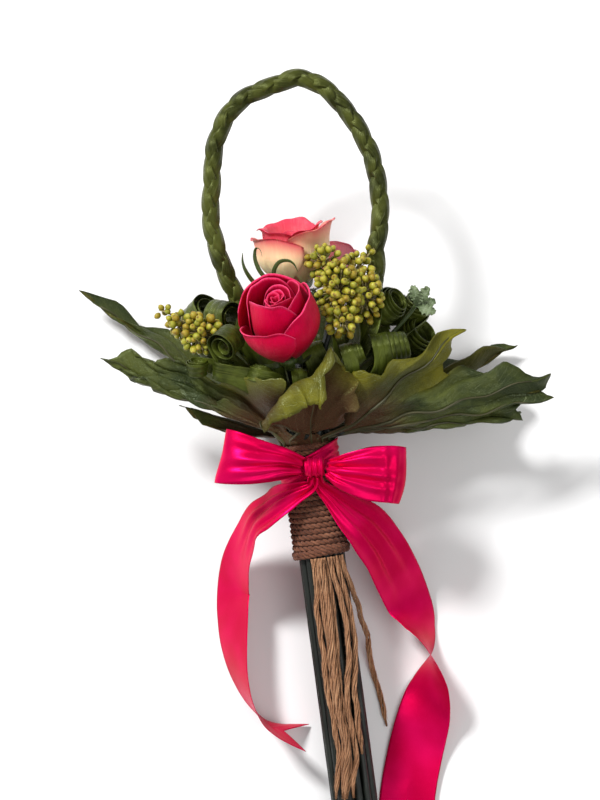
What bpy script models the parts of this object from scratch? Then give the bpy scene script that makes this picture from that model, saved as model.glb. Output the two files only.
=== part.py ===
"""Rose bouquet lying on its back: three roses, berry sprays and rolled leaves in a collar of
lobed leaves, a braided leaf handle, a jute binding and a satin bow.

Lengths in the tables below are millimetres in the bouquet's own frame: the neck, where the
collar leaves meet the binding, is the origin, +Y runs from the cut stems to the handle and
+Z is the front.  place() tilts that frame so that the head is raised and the cut stems and
the back leaves rest on the ground at Z = 0, and turns millimetres into metres.
"""

import math

import bmesh
import bpy
from mathutils import Matrix, Vector

MM = 0.001

# Placement of the bouquet frame on the ground
HEAD_RAISE = math.radians(12)  # slope of the bouquet's axis, head up
NECK_AT = Vector((-2.98, 3.16, 69.54))  # puts the origin under the middle of the box

# Stem bundle and binding.  The bundle has an axis of its own, which leans from the bouquet's
# axis and passes it to the left at the neck.
BUNDLE_LEAN = Matrix.Rotation(math.radians(2.6), 3, "Z")
BUNDLE_SHIFT = Vector((-5.8, 0.0, 0.0))
STEM_END = -262.0              # cut ends of the stems
SLEEVE_TOP = 2.0
SLEEVE_FOOT = -74.0
SLEEVE_BORE = 16.1
SLEEVE_OUTER = 19.4
TWINE_TURNS = 15
LIP_OUTER = 20.0               # the last turn of twine stands proud
PARALLEL_TO = 9.0              # stalks stay parallel up to here, then fan out
# Rings of stalks: distance from the axis, angles, stalk radius, and how long a stalk keeps
# rising straight before it bends outwards, as a share of its reach
INNER_RING = (3.4, (90, 210, 330), 2.7, 0.35)
MIDDLE_RING = (8.5, tuple(20 + 40 * k for k in range(9)), 2.3, 0.30)
OUTER_RING = (13.4, tuple(20 + 360 / 13 * k for k in range(13)), 2.3, 0.18)

LEAF_THICK = 0.8
PETAL_THICK = 0.7
RIBBON_THICK = 0.7
YARN_WIDTH = 3.5               # loose jute yarns
GROUND_GAP = 0.6               # height of a ribbon's middle surface above the ground


# ---------------------------------------------------------------- frame, meshes, materials
def place(point):
    """A point in the bouquet frame, in millimetres, as a world point in metres."""
    return (NECK_AT + Matrix.Rotation(HEAD_RAISE, 3, "X") @ Vector(point)) * MM


def in_bundle(x, y, z):
    """A point of the stem bundle, given along its own axis, in the bouquet frame."""
    return BUNDLE_SHIFT + BUNDLE_LEAN @ Vector((x, y, z))


def ground(y, height=0.0):
    """The z in the bouquet frame at which a point with this y lies height above the ground."""
    return (height - NECK_AT.z - y * math.sin(HEAD_RAISE)) / math.cos(HEAD_RAISE)


def material(name, colour, roughness):
    found = bpy.data.materials.get(name)
    if found:
        return found
    made = bpy.data.materials.new(name)
    made.use_nodes = True
    shader = made.node_tree.nodes["Principled BSDF"]
    shader.inputs["Base Color"].default_value = (*colour, 1.0)
    shader.inputs["Roughness"].default_value = roughness
    shader.inputs["Metallic"].default_value = 0.0
    return made


def solid(name, points, faces, finish, smooth=True):
    """A closed mesh object from bouquet-frame points, with its faces turned outwards."""
    mesh = bpy.data.meshes.new(name)
    mesh.from_pydata([place(p) for p in points], [], faces)
    shape = bmesh.new()
    shape.from_mesh(mesh)
    bmesh.ops.recalc_face_normals(shape, faces=shape.faces)
    if shape.calc_volume(signed=True) < 0:
        bmesh.ops.reverse_faces(shape, faces=shape.faces)
    shape.to_mesh(mesh)
    shape.free()
    if smooth:
        mesh.shade_smooth()
    mesh.materials.append(finish)
    made = bpy.data.objects.new(name, mesh)
    bpy.context.collection.objects.link(made)
    return made


# ---------------------------------------------------------------- curves
def bezier(controls, t):
    """A point of the Bezier curve of any degree."""
    points = [Vector(c) for c in controls]
    while len(points) > 1:
        points = [a.lerp(b, t) for a, b in zip(points, points[1:])]
    return points[0]


def catmull(points, count):
    """count points, evenly spread, of the smooth curve through the given points."""
    ends = [2 * points[0] - points[1]] + list(points) + [2 * points[-1] - points[-2]]
    dense = []
    for a, b, c, d in zip(ends, ends[1:], ends[2:], ends[3:]):
        for k in range(12):
            t = k / 12
            dense.append(0.5 * (2 * b + (c - a) * t + (2 * a - 5 * b + 4 * c - d) * t * t
                                + (3 * b - a - 3 * c + d) * t ** 3))
    dense.append(points[-1])
    return spread(dense, count)


def spread(dense, count):
    """count points at equal steps along a polyline, in any number of dimensions."""
    lengths = [0.0]
    for a, b in zip(dense, dense[1:]):
        lengths.append(lengths[-1] + (Vector(b[:3]) - Vector(a[:3])).length)
    result = []
    k = 0
    for i in range(count):
        want = lengths[-1] * i / (count - 1)
        while k < len(dense) - 2 and lengths[k + 1] < want:
            k += 1
        share = (want - lengths[k]) / max(lengths[k + 1] - lengths[k], 1e-9)
        result.append(dense[k].lerp(dense[k + 1], min(max(share, 0.0), 1.0)))
    return result


def sweep(name, path, widths, depths, across, sides, finish, smooth=True):
    """A closed bar along path: an oval of sides corners, widths across and depths thick."""
    points, faces = [], []
    last = len(path) - 1
    for i, centre in enumerate(path):
        tangent = (path[min(i + 1, last)] - path[max(i - 1, 0)]).normalized()
        side = across[i] - tangent * across[i].dot(tangent)
        side.normalize()
        normal = tangent.cross(side)
        for k in range(sides):
            turn = math.tau * k / sides
            points.append(centre + side * (widths[i] / 2 * math.cos(turn))
                          + normal * (depths[i] / 2 * math.sin(turn)))
    for i in range(last):
        for k in range(sides):
            a, b = i * sides + k, i * sides + (k + 1) % sides
            faces.append((a, b, b + sides, a + sides))
    faces.append(tuple(range(sides)))
    faces.append(tuple(last * sides + k for k in range(sides)))
    return solid(name, points, faces, finish, smooth)


def sheet(name, grid, thickness, finish, stalk=None):
    """A closed thin sheet about a grid of points.

    A stalk is a list of rings of eight corners.  Its last ring opens into the sheet's first
    column: corner 0 lies at the first row, corner 2 on the top side, corner 4 at the last row.
    """
    rows, columns = len(grid), len(grid[0])
    points, faces = [], []
    for sign in (1, -1):
        for i in range(rows):
            for j in range(columns):
                along = grid[min(i + 1, rows - 1)][j] - grid[max(i - 1, 0)][j]
                out = grid[i][min(j + 1, columns - 1)] - grid[i][max(j - 1, 0)]
                points.append(grid[i][j] + along.cross(out).normalized() * (sign * thickness / 2))
    layer = rows * columns
    for i in range(rows - 1):
        for j in range(columns - 1):
            a = i * columns + j
            faces.append((a, a + 1, a + columns + 1, a + columns))
            b = layer + a
            faces.append((b, b + columns, b + columns + 1, b + 1))
        b = i * columns + columns - 1
        faces.append((b, layer + b, layer + b + columns, b + columns))
        if stalk is None:
            a = i * columns
            faces.append((a, a + columns, layer + a + columns, layer + a))
    for j in range(columns - 1):
        a, b = j, (rows - 1) * columns + j
        faces.append((a, layer + a, layer + a + 1, a + 1))
        faces.append((b, b + 1, layer + b + 1, layer + b))
    if stalk is not None:
        open_into_stalk(points, faces, stalk, rows, columns)
    return solid(name, points, faces, finish)


def open_into_stalk(points, faces, stalk, rows, columns):
    """Joins the first column of a sheet to the last ring of its stalk."""
    layer = rows * columns
    ring = len(points)
    corners = 8
    for circle in reversed(stalk):
        points += circle
    for i in range(len(stalk) - 1):
        for k in range(corners):
            a, b = ring + i * corners + k, ring + i * corners + (k + 1) % corners
            faces.append((a, b, b + corners, a + corners))
    faces.append(tuple(ring + (len(stalk) - 1) * corners + k for k in range(corners)))
    last = (rows - 1) * columns
    for side, middle, near, far in ((0, 2, 1, 3), (layer, 6, 7, 5)):
        for i in range(rows - 1):
            a = side + i * columns
            faces.append((ring + middle, a, a + columns))
        faces.append((ring, ring + near, side))
        faces.append((ring + near, ring + middle, side))
        faces.append((ring + middle, ring + far, side + last))
        faces.append((ring + far, ring + 4, side + last))
    faces.append((ring, 0, layer))
    faces.append((ring + 4, last, layer + last))


# ---------------------------------------------------------------- stem bundle
def slot(ring, index, y):
    """The middle of a stalk at the level y of the bundle."""
    distance, angles, _, _ = ring
    turn = math.radians(angles[index])
    return in_bundle(distance * math.cos(turn), y, distance * math.sin(turn))


def stalk_path(ring, index, end, heading, end_cut, steps=5):
    """From the cut end, straight through the binding, then in one bend to end."""
    foot = slot(ring, index, STEM_END + end_cut)
    start = slot(ring, index, PARALLEL_TO)
    reach = (end - start).length
    bend = [start, slot(ring, index, PARALLEL_TO + reach * ring[3]),
            end - heading * reach * 0.4, end]
    return [foot] + [bezier(bend, k / steps) for k in range(steps + 1)]


# ---------------------------------------------------------------- roses
# A rose's place in the inner ring, the middle of its calyx, the level of its cut end above
# the lowest one, the way it faces, and the reach of its sepals
FRONT_ROSE = {"name": "front_rose", "slot": 0, "base": Vector((-14, 63, 27)), "cut": 0,
              "axis": Vector((-0.10, 0.80, 0.60)).normalized(), "sepals": 18.0}
BACK_ROSE = {"name": "back_rose", "slot": 1, "base": Vector((-4, 112, -18)), "cut": 4,
             "axis": Vector((-0.02, 0.97, 0.20)).normalized(), "sepals": 24.0}
THIRD_ROSE = {"name": "third_rose", "slot": 2, "base": Vector((20, 104, -45)), "cut": 2,
              "axis": Vector((0.12, 0.95, -0.25)).normalized(), "sepals": 17.0}
CALYX = 9.0                    # depth of the calyx under the petals
PETAL_FOOT = 1.25              # height above the calyx at which a petal starts
# How much further out a petal lies than its neighbour of the same whorl, one pitch away
PETAL_STEP = 0.9
PETAL_STEP_GROWTH = 0.036      # for each millimetre of the whorl's radius
PETAL_PITCH = math.radians(120)
BELLY_LEVEL = 0.55             # share of a cup's depth where it is at its full radius
FLARE_LEVEL = 0.62             # and where it starts to flare


def frame_of(axis):
    """Two directions across the axis; the first points to the front as far as it can."""
    front = (Vector((0, 0, 1)) - axis * axis.z).normalized()
    return front, axis.cross(front)


def rose_point(rose, radius, turn, height):
    front, side = frame_of(rose["axis"])
    return (rose["base"] + rose["axis"] * height
            + (front * math.cos(turn) + side * math.sin(turn)) * radius)


def rose_stem(rose, finish):
    """Stem, calyx with five sepals, and receptacle, grown as one piece."""
    front, _ = frame_of(rose["axis"])
    radius = INNER_RING[2]
    neck = rose["base"] - rose["axis"] * CALYX
    path = stalk_path(INNER_RING, rose["slot"], neck, rose["axis"], rose["cut"])
    corners = 10
    rings = []
    for i, centre in enumerate(path[:-1]):
        tangent = (path[i + 1] - path[max(i - 1, 0)]).normalized()
        across = (front - tangent * front.dot(tangent)).normalized()
        other = tangent.cross(across)
        rings.append([centre + (across * math.cos(math.tau * k / corners)
                                + other * math.sin(math.tau * k / corners)) * radius
                      for k in range(corners)])
    size = rose["sepals"]
    cup = [(2.9, 2.9, -CALYX, -CALYX), (5.5, 5.5, -6.5, -6.5), (8.0, 7.0, -4.5, -4.5)]
    skirt = [(0.58 * size, 0.32 * size, -0.11 * size, -0.14 * size),
             (size, 0.35 * size, 0.02 * size, -0.11 * size),
             (0.98 * size, 0.34 * size, 0.05 * size, -0.08 * size),
             (0.52 * size, 0.30 * size, -0.06 * size, -0.07 * size)]
    for tip, dip, tip_height, dip_height in cup + skirt + [(5.5, 5.5, 0.4, 0.4)]:
        rings.append([rose_point(rose, (tip, dip)[k % 2], math.tau * k / corners,
                                 (tip_height, dip_height)[k % 2]) for k in range(corners)])
    points = [p for ring in rings for p in ring]
    faces = []
    for i in range(len(rings) - 1):
        for k in range(corners):
            a, b = i * corners + k, i * corners + (k + 1) % corners
            faces.append((a, b, b + corners, a + corners))
    faces.append(tuple(range(corners)))
    faces.append(tuple((len(rings) - 1) * corners + k for k in range(corners)))
    return solid(rose["name"] + "_stem", points, faces, finish)


def petal(rose, name, cup, turn, rim, finish, rows=7, columns=6):
    """A petal of the whorl cup: turn is the way its middle faces, rim its height and slope."""
    layer, depth, flare, span = cup
    foot = 2.4 + 0.25 * layer
    step = (PETAL_STEP + PETAL_STEP_GROWTH * layer) * span / PETAL_PITCH
    grid = []
    for i in range(rows):
        u = 2 * i / (rows - 1) - 1
        height = rim[0] + rim[1] * u
        row = []
        for j in range(columns):
            rise = (height - PETAL_FOOT) * j / (columns - 1) * (1 - 0.16 * abs(u) ** 3)
            level = rise / (depth - PETAL_FOOT)
            belly = math.sin(math.pi / 2 * min(level / BELLY_LEVEL, 1.0)) ** 0.9
            radius = foot + (layer - foot) * belly + 7 * flare * max(level - FLARE_LEVEL, 0.0) ** 2
            radius += step * u * (0.25 + 0.75 * belly)
            angle = turn + u * span * (0.45 + 0.55 * belly)
            row.append(rose_point(rose, radius, angle, PETAL_FOOT + rise))
        grid.append(row)
    return sheet(name, grid, PETAL_THICK, finish)


def heart(rose, radius, height, finish):
    """The closed, twisted inner petals as one bud."""
    rings = [(0.45, 0.0), (0.85, 0.22), (1.0, 0.5), (0.9, 0.8), (0.5, 1.0)]
    sides = 9
    points, faces = [], []
    for wide, high in rings:
        for k in range(sides):
            turn = math.tau * (k / sides + 0.15 * high)
            swell = 1 + 0.08 * math.cos(3 * math.tau * k / sides)
            points.append(rose_point(rose, radius * wide * swell, turn, 0.4 + high * height))
    for i in range(len(rings) - 1):
        for k in range(sides):
            a, b = i * sides + k, i * sides + (k + 1) % sides
            faces.append((a, b, b + sides, a + sides))
    faces.append(tuple(range(sides)))
    faces.append(tuple((len(rings) - 1) * sides + k for k in range(sides)))
    return solid(rose["name"] + "_heart", points, faces, finish)


def whorl(rose, first, cup, start, rims, finish):
    """Petals side by side, each with one edge over and one edge under its neighbour.

    cup holds the whorl's radius, depth, flare and its petals' half width in degrees; rims has
    one pair for each petal: its height and how much that grows from its middle to its edge.
    """
    cup = (*cup[:3], math.radians(cup[3]))
    for k, rim in enumerate(rims):
        turn = math.radians(start) + k * PETAL_PITCH
        petal(rose, f"{rose['name']}_petal_{first + k}", cup, turn, rim, finish)


def roses():
    stem_green = material("rose_stem_green", (0.03, 0.06, 0.02), 0.55)
    crimson = material("crimson_petal", (0.75, 0.0, 0.06), 0.5)
    cream = material("cream_petal", (0.85, 0.55, 0.38), 0.5)
    pink = material("pink_petal", (0.85, 0.16, 0.24), 0.5)
    rose_stem(FRONT_ROSE, stem_green)
    heart(FRONT_ROSE, 8.5, 49, crimson)
    whorl(FRONT_ROSE, 1, (12.0, 50, 0.0, 85), 20, [(50, 0), (51, 0)], crimson)
    whorl(FRONT_ROSE, 3, (18.0, 53, 0.0, 78), -35, [(53, 0), (53, 0), (53, 0)], crimson)
    whorl(FRONT_ROSE, 6, (25.5, 52, -3.0, 74), -55, [(34, 8), (47, 6), (52, 0)], crimson)
    rose_stem(BACK_ROSE, stem_green)
    heart(BACK_ROSE, 10, 38, cream)
    whorl(BACK_ROSE, 1, (17.5, 42, 3.0, 80), 60, [(42, 0), (42, 0), (42, 0)], cream)
    whorl(BACK_ROSE, 4, (25.5, 41, 3.0, 80), -60, [(36, 2), (41, 2)], cream)
    rose_stem(THIRD_ROSE, stem_green)
    heart(THIRD_ROSE, 9, 33, pink)
    whorl(THIRD_ROSE, 1, (14.0, 34, 1.5, 82), 0, [(34, 0), (34, 0)], pink)


# ---------------------------------------------------------------- collar leaves
# Each leaf: its place in the binding, the point where the blade opens from the petiole, and
# its rays from margin to margin as Bezier controls that follow the first point.  The ray
# ends trace the lobed outline: tips, sinuses and the sides of the lobes.
COLLAR = {
    "collar_leaf_right_front": (0, (20, 9, 12), [
        [(22, 28, 30), (27, 49, 36)],
        [(30, 28, 38), (49, 48, 39)],
        [(38, 28, 40), (73, 58, 38)],
        [(50, 30, 42), (103, 72, 30)],
        [(48, 26, 36), (96, 60, 28)],
        [(46, 21, 31), (90, 43, 20)],
        [(56, 20, 30), (107, 44, 15)],
        [(66, 20, 28), (133, 42, 10)],
        [(80, 17, 26), (162, 34, 6)],
        [(78, 13, 22), (154, 26, 4)],
        [(80, 10, 18), (162, 20, 3)],
        [(70, 10, 14), (143, 15, 2)],
        [(62, 9, 13), (124, 18, 2)],
        [(64, 7, 12), (141, 9, 1)],
        [(58, 6, 11), (118, 9, 1)],
        [(50, 5, 10), (100, 7, 1)],
        [(46, 6, 10), (88, 11, 2)],
        [(42, 6, 9), (76, 7, 3)],
        [(36, 15, 10), (61, 15, 5)]]),
    "collar_leaf_right_back": (11, (18, 8, -12), [
        [(52, 7, -13), (104, 12, -12)],
        [(72, 4, -20), (143, 9, -24)],
        [(62, 5, -26), (118, 14, -34)],
        [(74, 10, -42), (142, 28, -52)],
        [(60, 12, -44), (112, 30, -58)],
        [(52, 18, -46), (92, 42, -60)],
        [(60, 24, -50), (120, 56, -58)],
        [(75, 26, -62), (149, 57, -70)],
        [(66, 24, -68), (124, 56, -74)],
        [(54, 20, -68), (96, 52, -79)],
        [(46, 22, -64), (84, 50, None)],
        [(42, 34, -70), (80, 80, None)],
        [(34, 30, -64), (56, 62, None)]]),
    "collar_leaf_back": (10, (6, 9, -20), [
        [(22, 12, -54), (42, 30, None)],
        [(24, 24, -66), (46, 66, None)],
        [(16, 26, -66), (26, 60, -80)],
        [(5, 34, -78), (8, 112, None)],
        [(-4, 26, -68), (-14, 66, -80)],
        [(-14, 28, -72), (-36, 86, None)],
        [(-14, 20, -62), (-32, 48, -76)],
        [(-14, 9, -52), (-34, 22, None)]]),
    "collar_leaf_left_back": (8, (-14, 8, -15.6), [
        [(-34, 16, -60), (-54, 34, None)],
        [(-38, 30, -72), (-62, 86, None)],
        [(-42, 32, -70), (-76, 62, -80)],
        [(-48, 42, -70), (-91, 82, -76)],
        [(-54, 44, -70), (-118, 101, -76)],
        [(-72, 48, -70), (-157, 124, -74)],
        [(-60, 38, -66), (-131, 102, -72)],
        [(-54, 33, -62), (-110, 86, -69)],
        [(-46, 26, -56), (-90, 68, -63)],
        [(-38, 15, -40), (-68, 42, -48)],
        [(-28, 10, -27), (-44, 26, -25)],
        [(-36, 12, -24), (-63, 25, -20)],
        [(-42, 13, -22), (-74, 26, -19)],
        [(-50, 15, -19), (-90, 36, -15)],
        [(-40, 9, -16), (-74, 21, -12)],
        [(-34, 7, -14), (-58, 17, -10)],
        [(-24, 8, -11), (-41, 12, -8)]]),
    "collar_leaf_left_front": (5, (-19, 9, 8), [
        [(-29, 16, 12), (-43, 28, 14)],
        [(-37, 19, 15), (-61, 37, 12)],
        [(-44, 19, 15), (-77, 37, 10)],
        [(-50, 24, 15), (-89, 47, 10)],
        [(-58, 25, 15), (-104, 49, 9)],
        [(-64, 28, 15), (-113, 57, 8)],
        [(-58, 31, 13), (-100, 58, 8)],
        [(-66, 34, 12), (-121, 60, 5)],
        [(-76, 38, 10), (-140, 71, 3)],
        [(-68, 42, 9), (-121, 74, 5)],
        [(-62, 40, 9), (-109, 67, 6)],
        [(-56, 41, 10), (-97, 69, 7)],
        [(-48, 38, 12), (-84, 61, 9)],
        [(-38, 33, 18), (-64, 51, 19)],
        [(-31, 30, 28), (-48, 50, 31)],
        [(-25, 30, 34), (-32, 49, 40)],
        [(-19, 28, 34), (-17, 47, 44)]]),
    "collar_leaf_front": (3, (-5, 9, 20), [
        [(-20, 14, 34), (-38, 26, 46), (-36, 14, 47)],
        [(-16, 20, 36), (-30, 42, 50), (-24, 20, 53)],
        [(-12, 26, 38), (-20, 58, 54), (-12, 24, 57)],
        [(-8, 30, 40), (-8, 68, 54), (-2, 29, 58)],
        [(-4, 34, 40), (0, 74, 53), (7, 27, 58)],
        [(0, 36, 38), (8, 80, 50), (9, 40, 55)],
        [(4, 36, 36), (15, 84, 46), (18, 58, 50)],
        [(8, 34, 36), (20, 62, 46), (25, 50, 46)],
        [(12, 28, 34), (28, 42, 43)],
        [(14, 20, 30), (29, 28, 38)],
        [(9, 12, 25), (20, 15, 29)]]),
}
BLADE_COLUMNS = 6
BLADE_START = 0.25             # share of a ray where the first column of the blade lies


def collar_leaf(name, index, opening, rays, finish):
    opening = Vector(opening)
    grid = []
    for ray in rays:
        controls = [opening]
        for x, y, z in ray:
            controls.append(Vector((x, y, ground(y, GROUND_GAP) if z is None else z)))
        step = (1 - BLADE_START) / (BLADE_COLUMNS - 1)
        grid.append([bezier(controls, BLADE_START + step * j) for j in range(BLADE_COLUMNS)])
    radius = OUTER_RING[2]
    out = (opening - in_bundle(0, opening.y, 0)).normalized()
    path = [slot(OUTER_RING, index, STEM_END + 3 * (index % 4)),
            slot(OUTER_RING, index, SLEEVE_TOP + 0.6),
            slot(OUTER_RING, index, SLEEVE_TOP + 4) + out * 1.6,
            opening - out * 1.5 - Vector((0, 0.8, 0)),
            opening]
    thick = [radius] * 3 + [1.9, 1.3]
    first, last = grid[0][0] - opening, grid[-1][0] - opening
    top = Vector((0, 0, 0))
    for low, high in zip(grid, grid[1:]):
        top += (low[0] - opening).cross(high[0] - opening)
    top.normalize()
    facing = 1 if out.cross(last - first).dot(top) > 0 else -1
    stalk = []
    for i, centre in enumerate(path):
        ahead = (path[min(i + 1, 4)] - path[max(i - 1, 0)]).normalized()
        right = (last - first)
        right = (right - ahead * right.dot(ahead)).normalized()
        high = ahead.cross(right) * facing
        stalk.append([centre + (high * math.sin(math.tau * k / 8)
                                - right * math.cos(math.tau * k / 8)) * thick[i]
                      for k in range(8)])
    stalk = [[ring[-k % 8] for k in range(8)] for ring in stalk]
    return sheet(name, grid, LEAF_THICK, finish, stalk)


def collar():
    finish = material("collar_leaf_green", (0.09, 0.13, 0.02), 0.4)
    for name, (index, opening, rays) in COLLAR.items():
        collar_leaf(name, index, opening, rays, finish)


# ---------------------------------------------------------------- rolled leaves
# Each rolled leaf: ring, place in the ring, middle of the roll, roll axis, radius and width.
# The blade narrows into a stalk that runs down through the binding.
ROLLS = {
    "rolled_leaf_left_upper": (MIDDLE_RING, 5, (-54.5, 94.5, -3), (0.3, -0.1, 1.0), 11, 17),
    "rolled_leaf_left_rear": (OUTER_RING, 7, (-71, 97, -31), (0.1, 0.3, 1.0), 12, 20),
    "rolled_leaf_left_lower": (MIDDLE_RING, 3, (-53, 75, 29), (-0.2, -0.3, 1.0), 11, 13),
    "rolled_leaf_left_small": (OUTER_RING, 6, (-74, 61, 25), (0.1, 1.0, 0.4), 7.5, 12),
    "rolled_leaf_under_rose": (OUTER_RING, 4, (-32, 53, 27), (0.3, 1.0, 0.1), 9, 12),
    "rolled_leaf_front": (MIDDLE_RING, 2, (-6, 46.5, 31.2), (1.0, 0.1, 0.0), 8.3, 12),
    "rolled_leaf_right_front": (OUTER_RING, 2, (31, 60, 27), (1.0, 0.3, 0.1), 9, 16),
    "rolled_leaf_right_coil": (OUTER_RING, 1, (56, 62, 20), (1.0, 0.15, -0.1), 12, 28),
    "rolled_leaf_right_upper": (MIDDLE_RING, 0, (58, 92, 4), (0.4, 0.2, 1.0), 12, 19),
    "rolled_leaf_right_rear": (OUTER_RING, 12, (75, 69, -18), (0.3, 0.4, 1.0), 13, 20),
    "rolled_leaf_back_left": (MIDDLE_RING, 6, (-31, 98, -58), (1.0, 0.2, 0.2), 14, 26),
    "rolled_leaf_back_low": (OUTER_RING, 9, (0, 68, -54), (1.0, 0.0, 0.0), 12, 24),
    "rolled_leaf_back_right": (MIDDLE_RING, 7, (42, 80, -56), (1.0, -0.2, 0.2), 14, 26),
}
ROLL_STEPS = 13
ROLL_TURNS = 1.2
BLADE_RUN = 26.0               # over this length the stalk widens into the blade


def rolled_leaf(name, ring, index, middle, axis, radius, width, finish):
    middle, axis = Vector(middle), Vector(axis).normalized()
    stalk = ring[2]
    approach = (middle - slot(ring, index, 0.0)).normalized()
    heading = (approach - axis * approach.dot(axis)).normalized()
    outward = heading.cross(axis)
    if outward.dot(middle) < 0:
        outward = -outward
    touch = middle + outward * radius
    path = stalk_path(ring, index, touch, heading, 3.0 * (index % 3), steps=6)
    widths = [2 * stalk] * len(path)
    depths = [2 * stalk] * len(path)
    for i, point in enumerate(path):
        share = 1 - min((point - touch).length / BLADE_RUN, 1.0)
        widths[i] += (width - 2 * stalk) * share
        depths[i] += (LEAF_THICK + 0.4 - 2 * stalk) * share ** 0.7
    for k in range(1, ROLL_STEPS + 1):
        turn = math.tau * ROLL_TURNS * k / ROLL_STEPS
        tight = radius * (1 - 0.34 * k / ROLL_STEPS)
        path.append(middle + (outward * math.cos(turn) + heading * math.sin(turn)) * tight)
        widths.append(width * (1 - 0.25 * (k / ROLL_STEPS) ** 3))
        depths.append(LEAF_THICK + 0.4)
    return sweep(name, path, widths, depths, [axis] * len(path), 6, finish)


def rolled_leaves():
    finish = material("rolled_leaf_green", (0.06, 0.16, 0.02), 0.35)
    for name, row in ROLLS.items():
        rolled_leaf(name, *row, finish)


# ---------------------------------------------------------------- braided handle
HANDLE = [(-42.3, 100.5, -12), (-47, 112, -9), (-54, 134, -5), (-58, 160, -5), (-55, 186, -5),
          (-51, 210, -5), (-41, 230, -5), (-27, 242, -5), (-9, 248, -5), (11, 252, -5),
          (28, 243, -5), (37, 232, -5), (46, 218, -5), (55, 195, -5), (58, 171, -5),
          (57, 149, -5), (53, 133, -6), (52, 120, -7), (50, 104, -5)]
BRAID_STRANDS = 3
BRAID_PERIOD = 57.0
BRAID_SWAY = 3.7
BRAID_WEAVE = 2.1
STRIP_WIDE = 3.7
STRIP_THICK = 2.6
BRAID_POINTS = 84


def braided_handle():
    finish = material("braid_green", (0.05, 0.13, 0.02), 0.35)
    route = catmull([Vector(p) for p in HANDLE], BRAID_POINTS)
    length = sum((b - a).length for a, b in zip(route, route[1:]))
    step = length / (BRAID_POINTS - 1)
    front = Vector((0, 0, 1))
    for strand in range(BRAID_STRANDS):
        path, across = [], []
        for i, centre in enumerate(route):
            ahead = route[min(i + 1, BRAID_POINTS - 1)] - route[max(i - 1, 0)]
            side = ahead.cross(front).normalized()
            turn = math.tau * (i * step / BRAID_PERIOD + strand / BRAID_STRANDS)
            path.append(centre + side * (BRAID_SWAY * math.sin(turn))
                        + front * (BRAID_WEAVE * math.sin(2 * turn)))
            across.append(side)
        sweep(f"handle_braid_strand_{strand + 1}", path, [STRIP_WIDE] * len(path),
              [STRIP_THICK] * len(path), across, 4, finish)


# ---------------------------------------------------------------- berry sprays and sprig
BERRY_GREEN = (0.42, 0.44, 0.05)
GOLDEN_TURN = math.pi * (3 - math.sqrt(5))


def ball(shape, centre, radii, detail):
    """Adds an icosphere, stretched to radii, in the bouquet frame."""
    made = bmesh.ops.create_icosphere(shape, subdivisions=detail, radius=1.0)
    for vertex in made["verts"]:
        vertex.co = Vector(centre) + Vector([c * r for c, r in zip(vertex.co, radii)])


def bar(shape, path, radii, sides=6):
    """Adds a closed round bar along path."""
    rings = []
    for i, centre in enumerate(path):
        tangent = (path[min(i + 1, len(path) - 1)] - path[max(i - 1, 0)]).normalized()
        side = tangent.orthogonal().normalized()
        other = tangent.cross(side)
        rings.append([shape.verts.new(centre + (side * math.cos(math.tau * k / sides)
                                                + other * math.sin(math.tau * k / sides))
                                      * radii[i]) for k in range(sides)])
    for low, high in zip(rings, rings[1:]):
        offset = min(range(sides), key=lambda k: (high[k].co - low[0].co).length)
        for k in range(sides):
            after = (k + 1) % sides
            shape.faces.new((low[k], low[after], high[(after + offset) % sides],
                             high[(k + offset) % sides]))
    shape.faces.new(rings[0][::-1])
    shape.faces.new(rings[-1])


def grown_mass(name, shape, voxel, keep, finish):
    """Melts the overlapping shapes into one closed skin and thins it."""
    bmesh.ops.recalc_face_normals(shape, faces=shape.faces)
    for vertex in shape.verts:
        vertex.co = place(vertex.co)
    mesh = bpy.data.meshes.new(name)
    shape.to_mesh(mesh)
    shape.free()
    mesh.materials.append(finish)
    made = bpy.data.objects.new(name, mesh)
    bpy.context.collection.objects.link(made)
    melt = made.modifiers.new("Melt together", "REMESH")
    melt.mode = "VOXEL"
    melt.voxel_size = voxel * MM
    melt.use_smooth_shade = True
    thin = made.modifiers.new("Thin out", "DECIMATE")
    thin.ratio = keep
    return made


def berry_spray(name, index, core, count, berry, keep, finish, extras):
    """A stalk that ends in a lumpy mass of berries about the ellipsoids in core."""
    shape = bmesh.new()
    first = Vector(core[0][0])
    radius = MIDDLE_RING[2]
    heading = (first - slot(MIDDLE_RING, index, 0.0)).normalized()
    path = stalk_path(MIDDLE_RING, index, first, heading, 5)
    bar(shape, path, [radius + 0.25] * 3 + [radius * 0.8] * (len(path) - 3), 8)
    for centre, radii in core:
        ball(shape, centre, [r * 0.86 for r in radii], 2)
        for k in range(count):
            rise = 1 - 2 * (k + 0.5) / count
            ring = math.sqrt(1 - rise * rise)
            turn = GOLDEN_TURN * k
            way = (ring * math.cos(turn), rise, ring * math.sin(turn))
            spot = Vector(centre) + Vector([w * (r - berry * 0.6) for w, r in zip(way, radii)])
            ball(shape, spot, (berry, berry, berry), 1)
    for route, thick in extras:
        bar(shape, [Vector(p) for p in route], thick)
    return grown_mass(name, shape, 1.5, keep, finish)


def berries():
    finish = material("berry_green", BERRY_GREEN, 0.45)
    main = [((24, 103, 27), (17, 22, 15)), ((41, 98, 21), (14, 19, 12)),
            ((16, 124, 22), (13, 13, 10)), ((25, 82, 36), (13, 13, 11)),
            ((36, 116, 14), (14, 14, 11))]
    top_twig = [((34, 114, 14), (44, 124, 6), (51, 131, 4)), (2.4, 2.4, 3.4)]
    berry_spray("berry_spray_right", 1, main, 16, 3.4, 0.12, finish, [top_twig])
    left = [((-70, 83, 14), (14, 14, 10)), ((-84, 90, 8), (10, 10, 8))]
    bud = [((-84, 92, 8), (-90, 98, 6), (-98, 102, 5)), (2.4, 2.8, 1.4)]
    berry_spray("berry_spray_left", 4, left, 16, 3.2, 0.14, finish, [bud])


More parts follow.
